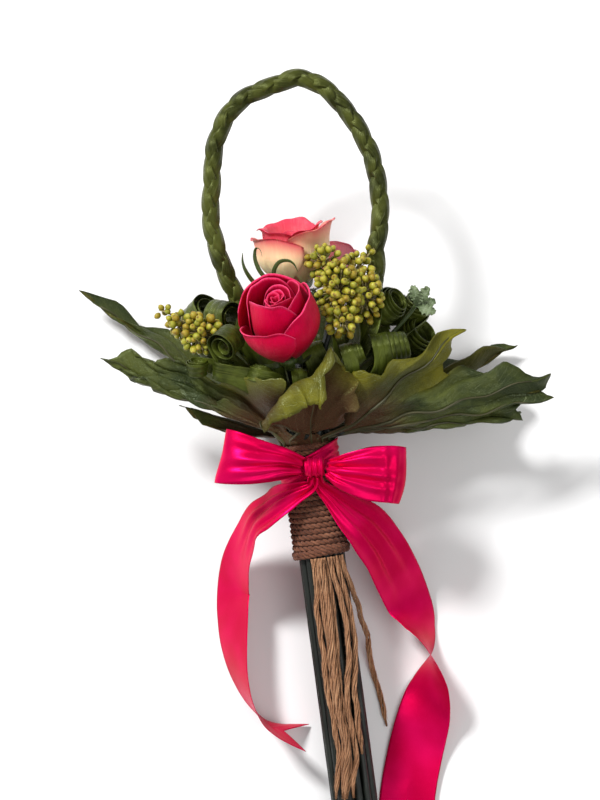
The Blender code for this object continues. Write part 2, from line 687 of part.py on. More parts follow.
SPRIG_TIP = (76, 90, -8)
SPRIG_LEAVES = [(90, 92, -6), (86, 102, -6), (76, 104, -11), (89, 84, -2), (80, 98, 0)]


def sprig():
    """A small frilly sprig: a stalk with five leaflets."""
    finish = material("sprig_green", (0.25, 0.40, 0.22), 0.5)
    shape = bmesh.new()
    tip = Vector(SPRIG_TIP)
    heading = (tip - slot(MIDDLE_RING, 8, 0.0)).normalized()
    path = stalk_path(MIDDLE_RING, 8, tip, heading, 8)
    bar(shape, path, [MIDDLE_RING[2] * 0.9] * 3 + [1.9] * (len(path) - 3))
    for end in SPRIG_LEAVES:
        end = Vector(end)
        bar(shape, [tip, tip.lerp(end, 0.55), end], (1.9, 2.8, 1.4))
    return grown_mass("frilly_sprig", shape, 1.1, 0.06, finish)


# ---------------------------------------------------------------- binding and yarns
def jute_binding():
    """The twine wound round the stems: a sleeve with one ridge for each turn."""
    finish = material("jute_brown", (0.30, 0.17, 0.10), 0.9)
    pitch = (SLEEVE_TOP - SLEEVE_FOOT) / TWINE_TURNS
    profile = [(SLEEVE_BORE, SLEEVE_FOOT)]
    for k in range(TWINE_TURNS):
        crest = LIP_OUTER if k == 0 else SLEEVE_OUTER
        low = SLEEVE_FOOT + k * pitch
        profile += [(crest - 1.0, low + 0.12 * pitch), (crest, low + 0.5 * pitch)]
    profile += [(SLEEVE_OUTER - 1.0, SLEEVE_TOP), (SLEEVE_BORE, SLEEVE_TOP)]
    sides = 16
    points, faces = [], []
    for radius, y in profile:
        for k in range(sides):
            turn = math.tau * k / sides
            points.append(in_bundle(radius * math.cos(turn), y, radius * math.sin(turn)))
    count = len(profile)
    for i in range(count):
        for k in range(sides):
            a, b = i * sides + k, i * sides + (k + 1) % sides
            after = (i + 1) % count * sides - i * sides
            faces.append((a, b, b + after, a + after))
    return solid("jute_binding", points, faces, finish)


# Each yarn: its distance from the bundle's axis, and its route as x and y along that axis.
# Five lie side by side on the stems and one lies on top of them.
YARN_LEVELS = (-74.3, -86, -97, -107, -118, -131, -144, -158, -171, -185, -198, -209, -222, -237)
YARNS = {
    "jute_yarn_1": (17.8, (-6.4, -6.4, -6.8, -8.4, -8.0, -7.8, -7.8, -8.2, -8.0, -7.0, -6.2,
                           -6.6, -9.2, -12.0)),
    "jute_yarn_2": (17.8, (-2.7, -2.6, -2.8, -3.2, -3.4, -3.4, -3.6, -4.2, -4.2, -3.3, -2.5,
                           -2.9, -5.4, -8.1)),
    "jute_yarn_3": (17.8, (1.0, 1.6, 2.6, 2.8, 2.6, 2.0, 1.2, -0.3, -0.5, 0.4, 1.2, 0.8, -1.7,
                           -4.4)),
    "jute_yarn_4": (17.8, (4.7, 6.0, 7.8, 9.0, 9.8, 9.6, 8.4, 5.9, 4.6, 4.6, 5.0, 4.6, 2.1,
                           -0.6)),
    "jute_yarn_5": (17.8, (8.5, 10.2, 12.2, 13.4, 14.2, 14.2, 13.2, 11.0, 9.4, 9.0, 9.2, 9.4)),
    "jute_yarn_7": (21.2, (-0.9, -0.5, -0.1, -0.2, -0.4, -0.7, -1.2, -2.2, -2.4, -1.5, -0.7,
                           -1.1, -3.5, -6.2)),
}
# The yarn that leaves the others and comes down beside the stems; a z of None lies on the
# ground
LOOSE_YARN = [(12.3, -74.3, 13.0), (13.6, -83, 11.6), (15.4, -91, 9.2), (17.4, -99, 4.6),
              (18.8, -107, -2), (20.6, -116, -10), (22.4, -126, -19), (23.6, -137, -27),
              (24.2, -151, -33), (25.4, -165, None), (26.8, -178, None), (28.0, -188, None),
              (28.4, -199, None)]


def yarn_route(distance, sides):
    return [in_bundle(x, y, math.sqrt(distance * distance - x * x))
            for x, y in zip(sides, YARN_LEVELS)]


def jute_yarn(name, route, finish):
    smooth = catmull(route, len(route) * 3)
    curve = bpy.data.curves.new(name, "CURVE")
    curve.dimensions = "3D"
    curve.bevel_depth = YARN_WIDTH / 2 * MM
    curve.bevel_resolution = 2
    curve.use_fill_caps = True
    spline = curve.splines.new("POLY")
    spline.points.add(len(smooth) - 1)
    for spot, point in zip(spline.points, smooth):
        spot.co = (*place(point), 1.0)
    curve.materials.append(finish)
    made = bpy.data.objects.new(name, curve)
    bpy.context.collection.objects.link(made)


def jute():
    jute_binding()
    finish = material("jute_yarn_brown", (0.38, 0.22, 0.12), 0.9)
    for name, (distance, sides) in YARNS.items():
        jute_yarn(name, yarn_route(distance, sides), finish)
    loose = []
    for x, y, z in LOOSE_YARN:
        lies = ground(y, YARN_WIDTH / 2 + 0.2) if z is None else z
        loose.append(in_bundle(x, y, lies))
    jute_yarn("jute_yarn_6", loose, finish)


# ---------------------------------------------------------------- ribbon
# Ribbon routes: x, y, z, width and tilt.  The tilt is the angle between the ribbon's width
# and the bouquet's front plane.  A z of None lays the lower edge on the ground.
LOOP_LEFT = [(-10.4, -11, 30.5, 12, 0), (-24, -7, 36, 20, 0), (-42, -4, 38, 29, 0),
             (-56, -1, 35, 35, 0), (-63, 0, 28, 37, 0), (-56, -2, 21, 36, 0),
             (-42, -5.5, 19, 31, 0), (-24, -9, 22, 22, 0), (-10.4, -12, 25, 12, 0)]
LOOP_RIGHT = [(5.9, -14, 30.5, 12, 0), (16, -17, 36, 24, 0), (33, -20, 38, 35, 0),
              (49, -22, 35, 38, 0), (56, -23.5, 28, 38, 0), (49, -22, 21, 38, 0),
              (33, -20.5, 19, 36, 0), (18, -18, 21.9, 25, 0), (5.9, -15, 25.4, 12, 0)]
TAIL_LEFT = [(-6, -25.1, 26.3, 9, 0), (-17, -29.5, 23, 16, -20), (-27, -34, 18, 27, -44),
             (-36, -39.5, 11, 36, -58), (-46, -47, 2, 38, -62), (-54, -60, -11, 38, -60),
             (-61, -76, -24, 38, -56), (-65.5, -94, None, 38, -55),
             (-67.5, -112, None, 38, -58), (-68, -131, None, 38, -61),
             (-66, -151, None, 38, -67), (-60.5, -170, None, 38, -75),
             (-52, -184, None, 38, -84), (-42, -191, None, 38, -94),
             (-32, -195, None, 38, -104), (-23, -198, None, 38, -112)]
TAIL_RIGHT = [(0.8, -26, 25.3, 9, 4), (8.5, -34.5, 21.4, 17, 20), (18, -45, 16, 29, 30),
              (30, -58, 8.5, 38, 30), (40, -74, -2, 38, 30), (48, -93, -15, 38, 30),
              (55, -112, -28, 38, 38), (61, -130, None, 38, 60), (65, -150, None, 38, 90),
              (64, -170, None, 38, 125), (58, -192, None, 38, 155), (50, -216, None, 38, 170),
              (43, -240, None, 38, 175), (38, -264, None, 38, 176)]
SWALLOW_CUT = 17.0
RIBBON_COLUMNS = 3


def ribbon_grid(route, rows, width_way=None, cut=0.0):
    """Rows of points across a ribbon; width_way fixes the width's direction if it is given."""
    packed = []
    for x, y, z, width, tilt in route:
        if z is None:
            z = ground(y, abs(math.sin(math.radians(tilt))) * width / 2)
        packed.append(Vector((x, y, z, width, tilt)))
    centres = catmull(packed, rows)
    grid = []
    for i, spot in enumerate(centres):
        centre = Vector(spot[:3])
        ahead = Vector(centres[min(i + 1, rows - 1)][:3]) - Vector(centres[max(i - 1, 0)][:3])
        ahead.normalize()
        if width_way is None:
            flat = ahead.cross(Vector((0, 0, 1))).normalized()
            rise = flat.cross(ahead)
            turn = math.radians(spot[4])
            way = flat * math.cos(turn) + rise * math.sin(turn)
        else:
            way = (width_way - ahead * width_way.dot(ahead)).normalized()
        row = []
        for j in range(RIBBON_COLUMNS):
            across = 2 * j / (RIBBON_COLUMNS - 1) - 1
            back = cut * (1 - abs(across)) if i == rows - 1 else 0.0
            row.append(centre + way * (across * spot[3] / 2) - ahead * back)
        lowest = min(place(p).z / MM for p in row)
        lift = Vector((0, 0, max(GROUND_GAP - lowest, 0.0)))
        grid.append([p + lift for p in row])
    return grid


KNOT_AT = Vector((-2.5, -13.0, 27.9))
KNOT_HIGH = 8.0                # half its height, and half its depth
KNOT_DEEP = 6.2


def knot(finish):
    """The gathered knot of the bow, a plump band over the neck band."""
    rings = [(-7.2, 0.55), (-6.3, 0.9), (-3, 1.0), (0, 0.94), (3, 1.0), (6.3, 0.9), (7.2, 0.55)]
    sides = 10
    points, faces = [], []
    for x, share in rings:
        for k in range(sides):
            turn = math.tau * k / sides
            points.append(KNOT_AT + Vector((x, KNOT_HIGH * share * math.cos(turn),
                                            KNOT_DEEP * share * math.sin(turn))))
    for i in range(len(rings) - 1):
        for k in range(sides):
            a, b = i * sides + k, i * sides + (k + 1) % sides
            faces.append((a, b, b + sides, a + sides))
    faces.append(tuple(range(sides)))
    faces.append(tuple((len(rings) - 1) * sides + k for k in range(sides)))
    return solid("ribbon_knot", points, faces, finish)


BAND_INNER = 20.1
BAND_WIDTH = 15.0
BAND_MIDDLE = -12.0            # its level in front
BAND_SLANT = 0.42              # it climbs to the right


def neck_band(finish):
    """The ribbon's slanting turn round the top of the binding."""
    sides = 24
    corners = [(BAND_INNER, -0.5), (BAND_INNER + 0.8, -0.5), (BAND_INNER + 1.4, 0.0),
               (BAND_INNER + 0.8, 0.5), (BAND_INNER, 0.5)]
    points, faces = [], []
    for k in range(sides):
        turn = math.tau * k / sides
        for radius, share in corners:
            x = radius * math.cos(turn)
            y = BAND_MIDDLE + BAND_SLANT * x + BAND_WIDTH * share
            points.append(in_bundle(x, y, radius * math.sin(turn)))
    count = len(corners)
    for k in range(sides):
        for i in range(count):
            a, b = k * count + i, k * count + (i + 1) % count
            shift = (k + 1) % sides * count - k * count
            faces.append((a, b, b + shift, a + shift))
    return solid("ribbon_neck_band", points, faces, finish)


def ribbon():
    finish = material("satin_pink", (0.86, 0.02, 0.16), 0.3)
    lean_left, lean_right = Vector((0.3, 0.95, 0.0)), Vector((-0.24, -0.97, 0.0))
    sheet("ribbon_loop_left", ribbon_grid(LOOP_LEFT, 21, lean_left), RIBBON_THICK, finish)
    sheet("ribbon_loop_right", ribbon_grid(LOOP_RIGHT, 21, lean_right), RIBBON_THICK, finish)
    sheet("ribbon_tail_left", ribbon_grid(TAIL_LEFT, 30, None, SWALLOW_CUT), RIBBON_THICK,
          finish)
    sheet("ribbon_tail_right", ribbon_grid(TAIL_RIGHT, 30, None, SWALLOW_CUT), RIBBON_THICK,
          finish)
    knot(finish)
    neck_band(finish)


def main():
    for old in list(bpy.data.objects):
        bpy.data.objects.remove(old, do_unlink=True)
    roses()
    collar()
    rolled_leaves()
    braided_handle()
    berries()
    sprig()
    jute()
    ribbon()


main()
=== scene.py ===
"""The looks of the rose bouquet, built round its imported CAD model.

Shapes are worked out in the bouquet's own frame, in millimetres: the neck, where the collar
leaves meet the binding, is the origin, +Y runs from the cut stems to the handle and +Z is the
front.  place() takes such points into the model's frame, in metres.
"""

import math
import random

import bpy
import numpy as np
from mathutils import Matrix, Vector, noise


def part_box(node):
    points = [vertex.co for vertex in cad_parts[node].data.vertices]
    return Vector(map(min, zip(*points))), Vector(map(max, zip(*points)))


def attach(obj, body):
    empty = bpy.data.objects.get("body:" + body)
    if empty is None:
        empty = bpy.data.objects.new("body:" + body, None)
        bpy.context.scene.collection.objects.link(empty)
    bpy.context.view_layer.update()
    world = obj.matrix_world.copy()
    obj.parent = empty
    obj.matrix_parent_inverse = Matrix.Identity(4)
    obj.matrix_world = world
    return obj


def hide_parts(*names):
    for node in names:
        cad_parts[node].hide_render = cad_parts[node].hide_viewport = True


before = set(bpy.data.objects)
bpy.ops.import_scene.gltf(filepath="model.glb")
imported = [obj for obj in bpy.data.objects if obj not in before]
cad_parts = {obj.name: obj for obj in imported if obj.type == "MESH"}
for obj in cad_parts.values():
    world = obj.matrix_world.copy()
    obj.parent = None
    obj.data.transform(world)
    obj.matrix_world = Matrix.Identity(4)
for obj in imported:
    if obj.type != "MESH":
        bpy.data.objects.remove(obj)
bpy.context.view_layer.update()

MM = 0.001
GOLDEN_TURN = math.pi * (3 - math.sqrt(5))
TILT = np.array(Matrix.Rotation(math.radians(12), 3, "X"))       # the head is raised
LEAN = np.array(Matrix.Rotation(math.radians(2.6), 3, "Z"))      # the stems' own slant
SHIFT = np.array((-5.8, 0.0, 0.0))                               # and their place at the neck
BAND_MIDDLE = -12.0            # level of the neck band on the stems' own axis
STEM_END = -262.0              # level of the lowest cut ends
GROUND_GAP = 0.4               # no point of a piece lies lower above the ground
FRONT = np.array((0.0, 0.0, 1.0))


# ---------------------------------------------------------------- frame and curves
def in_bundle(points):
    """Points given along the stem bundle's own axis, in the bouquet's frame."""
    return SHIFT + np.asarray(points, float) @ LEAN.T


def joined(*columns):
    """Columns of numbers as rows of them."""
    return np.stack(np.broadcast_arrays(*columns), axis=-1)


def about_bundle(away, turn, level):
    """Points round the stem bundle: how far from its axis, which way and at what level."""
    return in_bundle(joined(away * np.cos(turn), level, away * np.sin(turn)))


band_low, band_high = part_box("ribbon_neck_band")
# Where the bouquet frame's origin is in the model, from the neck band's place
NECK_AT = np.array((band_low + band_high) / 2) / MM - TILT @ in_bundle((0, BAND_MIDDLE, 0))


def place(points):
    return (np.asarray(points, float) @ TILT.T + NECK_AT) * MM


def laid(y, z, height):
    """z, or if it is None the z of a point that lies height above the ground at y."""
    return (height - NECK_AT[2] - y * TILT[2, 1]) / TILT[2, 2] if z is None else z


def unit(vectors):
    vectors = np.asarray(vectors, float)
    return vectors / np.maximum(np.linalg.norm(vectors, axis=-1, keepdims=True), 1e-9)


def turned(one, two, turn):
    """Directions turned from one towards two."""
    return one * np.cos(turn)[..., None] + two * np.sin(turn)[..., None]


def whole_turn(count, extra=0):
    """count equal steps of a turn, and extra ones past it."""
    return np.arange(count + extra) * math.tau / count


def row(count, low=-1):
    """count numbers from low to 1, side by side."""
    return np.linspace(low, 1, count)[None]


def smooth_line(points, count):
    """count points at equal steps on the curve through points.

    Numbers past the third go along.
    """
    dense = catmull(points, 12)
    lengths = along(dense[:, :3])[1]
    wanted = np.linspace(0, lengths[-1], count)
    return np.stack([np.interp(wanted, lengths, column) for column in dense.T], axis=1)


def catmull(points, steps):
    """The smooth curve through the rows of points, with steps points for each span."""
    points = np.asarray(points, float)
    ends = np.concatenate([[2 * points[0] - points[1]], points, [2 * points[-1] - points[-2]]])
    a, b, c, d = (x[:, None] for x in (ends[:-3], ends[1:-2], ends[2:-1], ends[3:]))
    t = (np.arange(steps) / steps).reshape((1, -1) + (1,) * (points.ndim - 1))
    dense = 0.5 * (2 * b + (c - a) * t + (2 * a - 5 * b + 4 * c - d) * t ** 2
                   + (3 * b - a - 3 * c + d) * t ** 3)
    return np.concatenate([dense.reshape((-1,) + points.shape[1:]), points[-1:]])


def bezier(controls, shares):
    """Points of the Bezier curve of any degree, at each of its shares or at that many steps."""
    shares = np.linspace(0, 1, shares) if isinstance(shares, int) else np.asarray(shares, float)
    points = [np.asarray(c, float) for c in controls]
    while len(points) > 1:
        points = [a + (b - a) * shares[:, None] for a, b in zip(points, points[1:])]
    return points[0]


def ripple(*values):
    """Smooth noise between about -1 and 1 at a place given by up to three numbers."""
    return noise.noise(Vector((*values, 0.0, 0.0)[:3]))


def ripples(values, line):
    """Smooth noise along one line of values."""
    return np.array([ripple(value, line) for value in np.ravel(values)]).reshape(np.shape(values))


def ramp(value, low, high):
    """0 below low, 1 above high, and smooth between them."""
    share = np.clip((value - low) / (high - low), 0, 1)
    return share * share * (3 - 2 * share)


def along(path):
    """Tangents of a path and the distance travelled at each point."""
    steps = np.linalg.norm(np.diff(path, axis=0), axis=1)
    return unit(np.gradient(path, axis=0)), np.concatenate([[0.0], np.cumsum(steps)])


def carried(path, side=None):
    """Tangents, two directions across a path, carried along it untwisted, and the distance."""
    tangent, travelled = along(path)
    side = np.array(Vector(tangent[0]).orthogonal()) if side is None else side
    sides = []
    for t in tangent:
        side = unit(side - t * np.dot(side, t))
        sides.append(side)
    sides = np.array(sides)
    return tangent, sides, np.cross(tangent, sides), travelled


def swept(path, side, up, across, lift):
    """Rows of points about path: across to the side and lift upwards."""
    return path[:, None] + side[:, None] * across[..., None] + up[:, None] * lift[..., None]


# ---------------------------------------------------------------- building pieces
def linked(name, data):
    made = bpy.data.objects.new(name, data)
    bpy.context.collection.objects.link(made)
    return made


class Piece:
    """A mesh in the making.  Each point has a place and a run, which its finish reads.

    On a blade, run is across, along and tone; on a round bar it is the place across the bar,
    with the distance along it in the middle.
    """

    def __init__(self):
        self.points, self.runs, self.faces, self.kinds = [], [], [], []
        self.count = 0

    def grid(self, points, run, kind=0, wrap=False):
        """A surface through rows and columns of points; wrap joins the last column's edge."""
        index = np.arange(points[..., 0].size).reshape(points.shape[:2]) + self.count
        if wrap:
            index = np.concatenate([index, index[:, :1]], axis=1)
        quads = joined(index[:-1, :-1], index[:-1, 1:], index[1:, 1:], index[1:, :-1])
        self.points.append(points.reshape(-1, 3))
        self.runs.append(np.broadcast_to(run, points.shape).reshape(-1, 3))
        self.faces += quads.reshape(-1, 4).tolist()
        self.kinds += [kind] * quads[..., 0].size
        self.count += points[..., 0].size

    def bar(self, path, radii, sides=8, kind=0, side=None, flat=1.0, from_mm=0.0):
        """A round or oval bar along path, closed at both ends."""
        path = np.asarray(path, float)
        radii = np.broadcast_to(np.asarray(radii, float), len(path))
        _, one, two, travelled = carried(path, side)
        path, one, two, travelled = (np.concatenate([x[:1], x, x[-1:]])
                                     for x in (path, one, two, travelled))
        radii = np.concatenate([[0.02], radii, [0.02]])[:, None]
        turn = whole_turn(sides)
        x, z = radii * np.cos(turn), radii * (np.sin(turn) * flat)
        self.grid(swept(path, one, two, x, z), joined(x, travelled[:, None] + from_mm, z), kind,
                  wrap=True)

    def build(self, node, kind, finishes, thick=0.0, under=0):
        """The object that stands for node.  thick gives its sheets a thickness, and under is how
        many places further down the list the finish of their far side is."""
        mesh = bpy.data.meshes.new(node + kind)
        points = place(np.concatenate(self.points))
        points[:, 2] = np.maximum(points[:, 2], GROUND_GAP * MM)
        mesh.from_pydata(points.tolist(), [], self.faces)
        made = mesh.attributes.new("run", "FLOAT_VECTOR", "POINT")
        made.data.foreach_set("vector", np.concatenate(self.runs).astype(np.float32).ravel())
        for finish in finishes:
            mesh.materials.append(finish)
        mesh.polygons.foreach_set("material_index", self.kinds)
        mesh.shade_smooth()
        piece = linked(node + kind, mesh)
        if thick:
            thicken = piece.modifiers.new("Thickness", "SOLIDIFY")
            thicken.thickness = thick * MM
            thicken.offset = 0.0
            thicken.material_offset = under
        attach(piece, "root")
        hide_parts(node)
        return piece


# ---------------------------------------------------------------- finishes
class Finish:
    """A material whose colour, roughness and bump come from nodes."""

    def __init__(self, name, **sockets):
        self.material = bpy.data.materials.new(name)
        self.material.use_nodes = True
        self.tree = self.material.node_tree
        self.shader = self.tree.nodes["Principled BSDF"]
        for socket, value in sockets.items():
            self.put(self.shader.inputs[socket.replace("_", " ")], value)
        self.run = self.node("ShaderNodeAttribute", attribute_name="run").outputs["Vector"]
        self.across, self.along, self.tone = self.node("ShaderNodeSeparateXYZ",
                                                       {0: self.run}).outputs
        self.spot = self.node("ShaderNodeTexCoord").outputs["Object"]

    def put(self, socket, value):
        """Links value to a socket or sets it; colours are three numbers."""
        if isinstance(value, bpy.types.NodeSocket):
            self.tree.links.new(value, socket)
        else:
            socket.default_value = (*value, 1.0) if socket.type == "RGBA" else value

    def node(self, kind, inputs=None, **settings):
        made = self.tree.nodes.new(kind)
        for setting, value in settings.items():
            setattr(made, setting, value)
        for socket, value in (inputs or {}).items():
            self.put(made.inputs[socket], value)
        return made

    def maths(self, operation, *values):
        return self.node("ShaderNodeMath", dict(enumerate(values)), operation=operation).outputs[0]

    def noise(self, scale, detail=3.0, rough=0.55, vector=None):
        return self.node("ShaderNodeTexNoise", {
            "Vector": self.spot if vector is None else vector, "Scale": scale, "Detail": detail,
            "Roughness": rough}).outputs["Fac"]

    def grain(self, scales, detail=3.0, rough=0.55):
        """Noise with its own scale for each number of the run."""
        made = self.node("ShaderNodeVectorMath", {0: self.run, 1: scales}, operation="MULTIPLY")
        return self.noise(1.0, detail, rough, made.outputs[0])

    def stretch(self, value, low, high, to_low=0.0, to_high=1.0):
        """Maps low..high to to_low..to_high, smoothly and without going past them."""
        return self.node("ShaderNodeMapRange", {
            "Value": value, "From Min": low, "From Max": high, "To Min": to_low,
            "To Max": to_high}, interpolation_type="SMOOTHSTEP").outputs[0]

    def mix(self, share, one, two):
        return self.node("ShaderNodeMix", {0: share, 6: one, 7: two}, data_type="RGBA").outputs[2]

    def over(self, colour, other, value, low, high, share=1.0):
        """colour, with up to share of the other where value rises from low to high."""
        return self.mix(self.stretch(value, low, high, 0.0, share), colour, other)

    def ramp(self, value, *stops):
        made = self.node("ShaderNodeValToRGB", {0: value})
        band = made.color_ramp
        while len(band.elements) < len(stops):
            band.elements.new(0.5)
        for element, (position, colour) in zip(band.elements, stops):
            element.position = position
            element.color = (*colour, 1.0)
        return made.outputs[0]

    def close(self, colour, value, smooth, rough, height, depth, strength, span=(0.3, 0.7)):
        """Joins colour, a roughness that follows value, and a bump of depth millimetres.

        The roughness goes from smooth to rough while value goes through span.
        """
        bump = self.node("ShaderNodeBump", {"Height": height, "Distance": depth * MM,
                                            "Strength": strength}).outputs[0]
        for socket, made in (("Base Color", colour), ("Normal", bump),
                             ("Roughness", self.stretch(value, *span, smooth, rough))):
            self.put(self.shader.inputs[socket], made)
        return self.material


def petal_finish(name, foot, deep, body, blush, rim, shade):
    """Velvety petal: along runs from 0 at the foot to 1 at the rim, across from -1 to 1."""
    look = Finish(name, Subsurface_Weight=0.12, Subsurface_Scale=0.002, Sheen_Weight=0.02,
                  Sheen_Roughness=0.4, Specular_IOR_Level=0.28, Specular_Tint=rim)
    veins = look.grain((26.0, 2.2, 30.0), 5.0, 0.65)
    clouds = look.noise(70.0)
    reach = look.maths("ADD", look.along, look.stretch(veins, 0.3, 0.7, -0.02, 0.02))
    # On the crimson petals the dark foot and deep stops are painted shade down in the cup, and the
    # pale rim stop is a painted highlight on the rolled rims.
    colour = look.ramp(reach, (0.05, foot), (0.34, deep), (0.62, body), (0.95, blush), (1.0, rim))
    colour = look.over(colour, shade, clouds, 0.42, 0.75, 0.55)
    colour = look.over(colour, shade, veins, 0.50, 0.78, 0.55)
    height = look.maths("MULTIPLY_ADD", look.noise(2600.0, 2.0), 0.25, veins)
    return look.close(colour, clouds, 0.42, 0.60, height, 0.36, 0.8)


def blade_finish(name, dull, bright, vein, **sockets):
    """A leaf with long parallel veins: across and along are millimetres."""
    look = Finish(name, **sockets)
    lines = look.grain((2.6, 0.02, 7.0), 3.0, 0.7)
    fine = look.grain((9.0, 0.06, 3.0), 2.0)
    colour = look.over(dull, bright, look.noise(55.0), 0.35, 0.7)
    colour = look.over(colour, vein, lines, 0.55, 0.72, 0.75)
    colour = look.over(colour, dull, fine, 0.5, 0.8, 0.35)
    return look.close(colour, fine, 0.26, 0.46, look.maths("MULTIPLY_ADD", fine, 0.4, lines),
                      0.35, 0.7)


def lobed_finish(name, dull, bright, vein, base, base_reach, **sockets):
    """A broad leaf: across is millimetres from the nearest main vein, along is millimetres
    from the leaf's stalk, and the third number how much of its sunlit colour it shows."""
    look = Finish(name, **sockets)
    away = look.maths("ABSOLUTE", look.across)
    wander = look.noise(160.0, 2.0)
    main = look.stretch(look.maths("MULTIPLY_ADD", wander, 0.6, away), 0.45, 1.0, 1.0, 0.0)
    slant = look.maths("MULTIPLY_ADD", away, -1.1, look.along)
    slant = look.maths("MULTIPLY_ADD", wander, 5.0, slant)
    side = look.stretch(look.maths("PINGPONG", slant, VEIN_SPACING / 2), 0.0, 0.45, 0.6, 0.0)
    cells = look.node("ShaderNodeTexVoronoi", {"Vector": look.spot, "Scale": 620.0},
                      feature="DISTANCE_TO_EDGE").outputs["Distance"]
    net = look.stretch(cells, 0.0, 0.09, 0.3, 0.0)
    veins = look.maths("MAXIMUM", look.maths("MAXIMUM", main, side), net)
    clouds = look.noise(42.0, 4.0)
    specks = look.noise(300.0)
    colour = look.over(dull, bright, clouds, 0.34, 0.68)
    colour = look.over(colour, dull, specks, 0.5, 0.8, 0.5)
    # Painted sunlight, as much of it as the tone gives
    colour = look.mix(look.tone, colour, look.over(*SUNLIT, clouds, 0.36, 0.66))
    # Near the stalk the leaf goes over to a reddish brown: partly its own colour at the foot, partly
    # painted shade where the lower leaf lies in shadow by the neck.
    near = look.stretch(look.maths("MULTIPLY_ADD", clouds, 16.0, look.along),
                        base_reach, base_reach + 28.0, 1.0, 0.0)
    colour = look.mix(near, colour, base)
    colour = look.mix(look.maths("MULTIPLY", veins, 0.36), colour, vein)
    height = look.maths("MULTIPLY_ADD", cells, 0.5, look.maths("MULTIPLY", veins, -1.0))
    return look.close(colour, specks, 0.30, 0.50, height, 0.5, 0.7)


def fibre_finish(name, dark, middle, pale):
    """Spun plant fibre: thin hairs that run along the strand."""
    look = Finish(name, Sheen_Weight=0.10, Specular_IOR_Level=0.15)
    hairs = look.grain((5.0, 0.5, 5.0), 4.0, 0.7)
    strands = look.grain((0.2, 0.04, 0.2), 2.0)
    colour = look.ramp(hairs, (0.28, dark), (0.5, middle), (0.72, pale))
    colour = look.over(colour, dark, look.noise(120.0), 0.5, 0.8, 0.6)
    colour = look.over(colour, pale, strands, 0.50, 0.72, 0.7)
    colour = look.mix(look.stretch(strands, 0.30, 0.46, 0.6, 0.0), colour, dark)
    return look.close(colour, hairs, 0.8, 0.95, hairs, 0.5, 0.9)


def satin_finish():
    """Woven satin: along and across are millimetres of the ribbon."""
    look = Finish("satin_pink", Metallic=0.45, Anisotropic=0.5, Specular_IOR_Level=0.15,
                  Specular_Tint=(1.0, 0.12, 0.32))
    floats_and_sheen = look.grain((5.0, 0.35, 1.0), 3.0, 0.6)
    threads = look.maths("SINE", look.maths("MULTIPLY", look.across, 18.0))
    picks = look.maths("SINE", look.maths("MULTIPLY", look.along, 20.0))
    weave = look.maths("MULTIPLY_ADD", picks, 0.4, threads)
    colour = look.over((0.54, 0.0, 0.045), (0.68, 0.002, 0.085), look.noise(26.0, 2.0), 0.35, 0.7)
    # Lighter streaks along the floats are a painted sheen; the same noise gives the weave's bump and
    # roughness.
    colour = look.over(colour, (0.88, 0.02, 0.17), floats_and_sheen, 0.45, 0.8, 0.2)
    return look.close(colour, floats_and_sheen, 0.30, 0.40, look.maths("MULTIPLY_ADD", weave, 0.12, floats_and_sheen),
                      0.08, 0.4)


def bark_finish(name, dark, middle, pale, smooth, rough):
    """A stem or twig: fine ridges along it."""
    look = Finish(name, Specular_IOR_Level=0.4)
    ridges = look.grain((2.2, 0.05, 2.2), 3.0, 0.6)
    clouds = look.noise(60.0, 4.0)
    colour = look.ramp(ridges, (0.3, dark), (0.52, middle), (0.78, pale))
    colour = look.over(colour, dark, clouds, 0.45, 0.75, 0.6)
    return look.close(colour, clouds, smooth, rough, ridges, 0.4, 0.7)


def berry_finish():
    """Small waxy fruit, paler to the tip and with painted shade at the stalk end; along runs from 0
    at the stalk to 1 at the tip.
    """
    look = Finish("berry_green", Subsurface_Weight=0.25, Subsurface_Scale=0.002,
                  Specular_IOR_Level=0.4, Specular_Tint=(1.0, 0.95, 0.6))
    dots = look.noise(1500.0)
    # The dark stalk end is painted shade where the berries turn into the spray; the dark tip is the
    # berry's own.
    colour = look.ramp(look.along, (0.05, (0.07, 0.07, 0.004)), (0.45, (0.27, 0.25, 0.014)),
                       (0.86, (0.46, 0.42, 0.06)), (0.97, (0.16, 0.10, 0.02)))
    colour = look.over(colour, (0.24, 0.14, 0.012), look.tone, 0.45, 1.0, 0.65)
    colour = look.mix(look.stretch(look.tone, 0.0, 0.3, 0.5, 0.0), colour, (0.13, 0.18, 0.015))
    colour = look.over(colour, (0.17, 0.14, 0.01), dots, 0.5, 0.75, 0.4)
    return look.close(colour, dots, 0.34, 0.55, dots, 0.2, 0.5)


VEIN_SPACING = 7.2             # of a collar leaf's side veins
LEAF_SHINE = (0.80, 0.90, 0.35)
SUNLIT = ((0.070, 0.064, 0.002), (0.160, 0.145, 0.008))        # painted sunlight: a leaf's colour where the sun falls on it
# Petals from the foot to the rim, and their shade
# Crimson: its dark foot and deep colours are painted shade in the cup, and its pale pink rim is a
# painted highlight.
CRIMSON = petal_finish("crimson_petal", (0.16, 0.0, 0.008), (0.26, 0.0, 0.012),
                       (0.52, 0.0, 0.030), (0.62, 0.002, 0.05), (0.88, 0.07, 0.20),
                       (0.33, 0.0, 0.018))
CREAM = petal_finish("cream_petal", (0.90, 0.80, 0.42), (0.94, 0.82, 0.46), (0.93, 0.62, 0.36),
                     (0.70, 0.10, 0.12), (0.45, 0.01, 0.04), (0.90, 0.50, 0.31))
CORAL = petal_finish("coral_petal", (0.84, 0.55, 0.26), (0.84, 0.34, 0.22), (0.78, 0.13, 0.16),
                     (0.70, 0.055, 0.10), (0.52, 0.01, 0.05), (0.82, 0.24, 0.27))
PINK = petal_finish("pink_petal", (0.96, 0.60, 0.46), (0.98, 0.50, 0.48), (0.98, 0.38, 0.44),
                    (0.97, 0.30, 0.39), (0.90, 0.15, 0.27), (0.94, 0.26, 0.35))
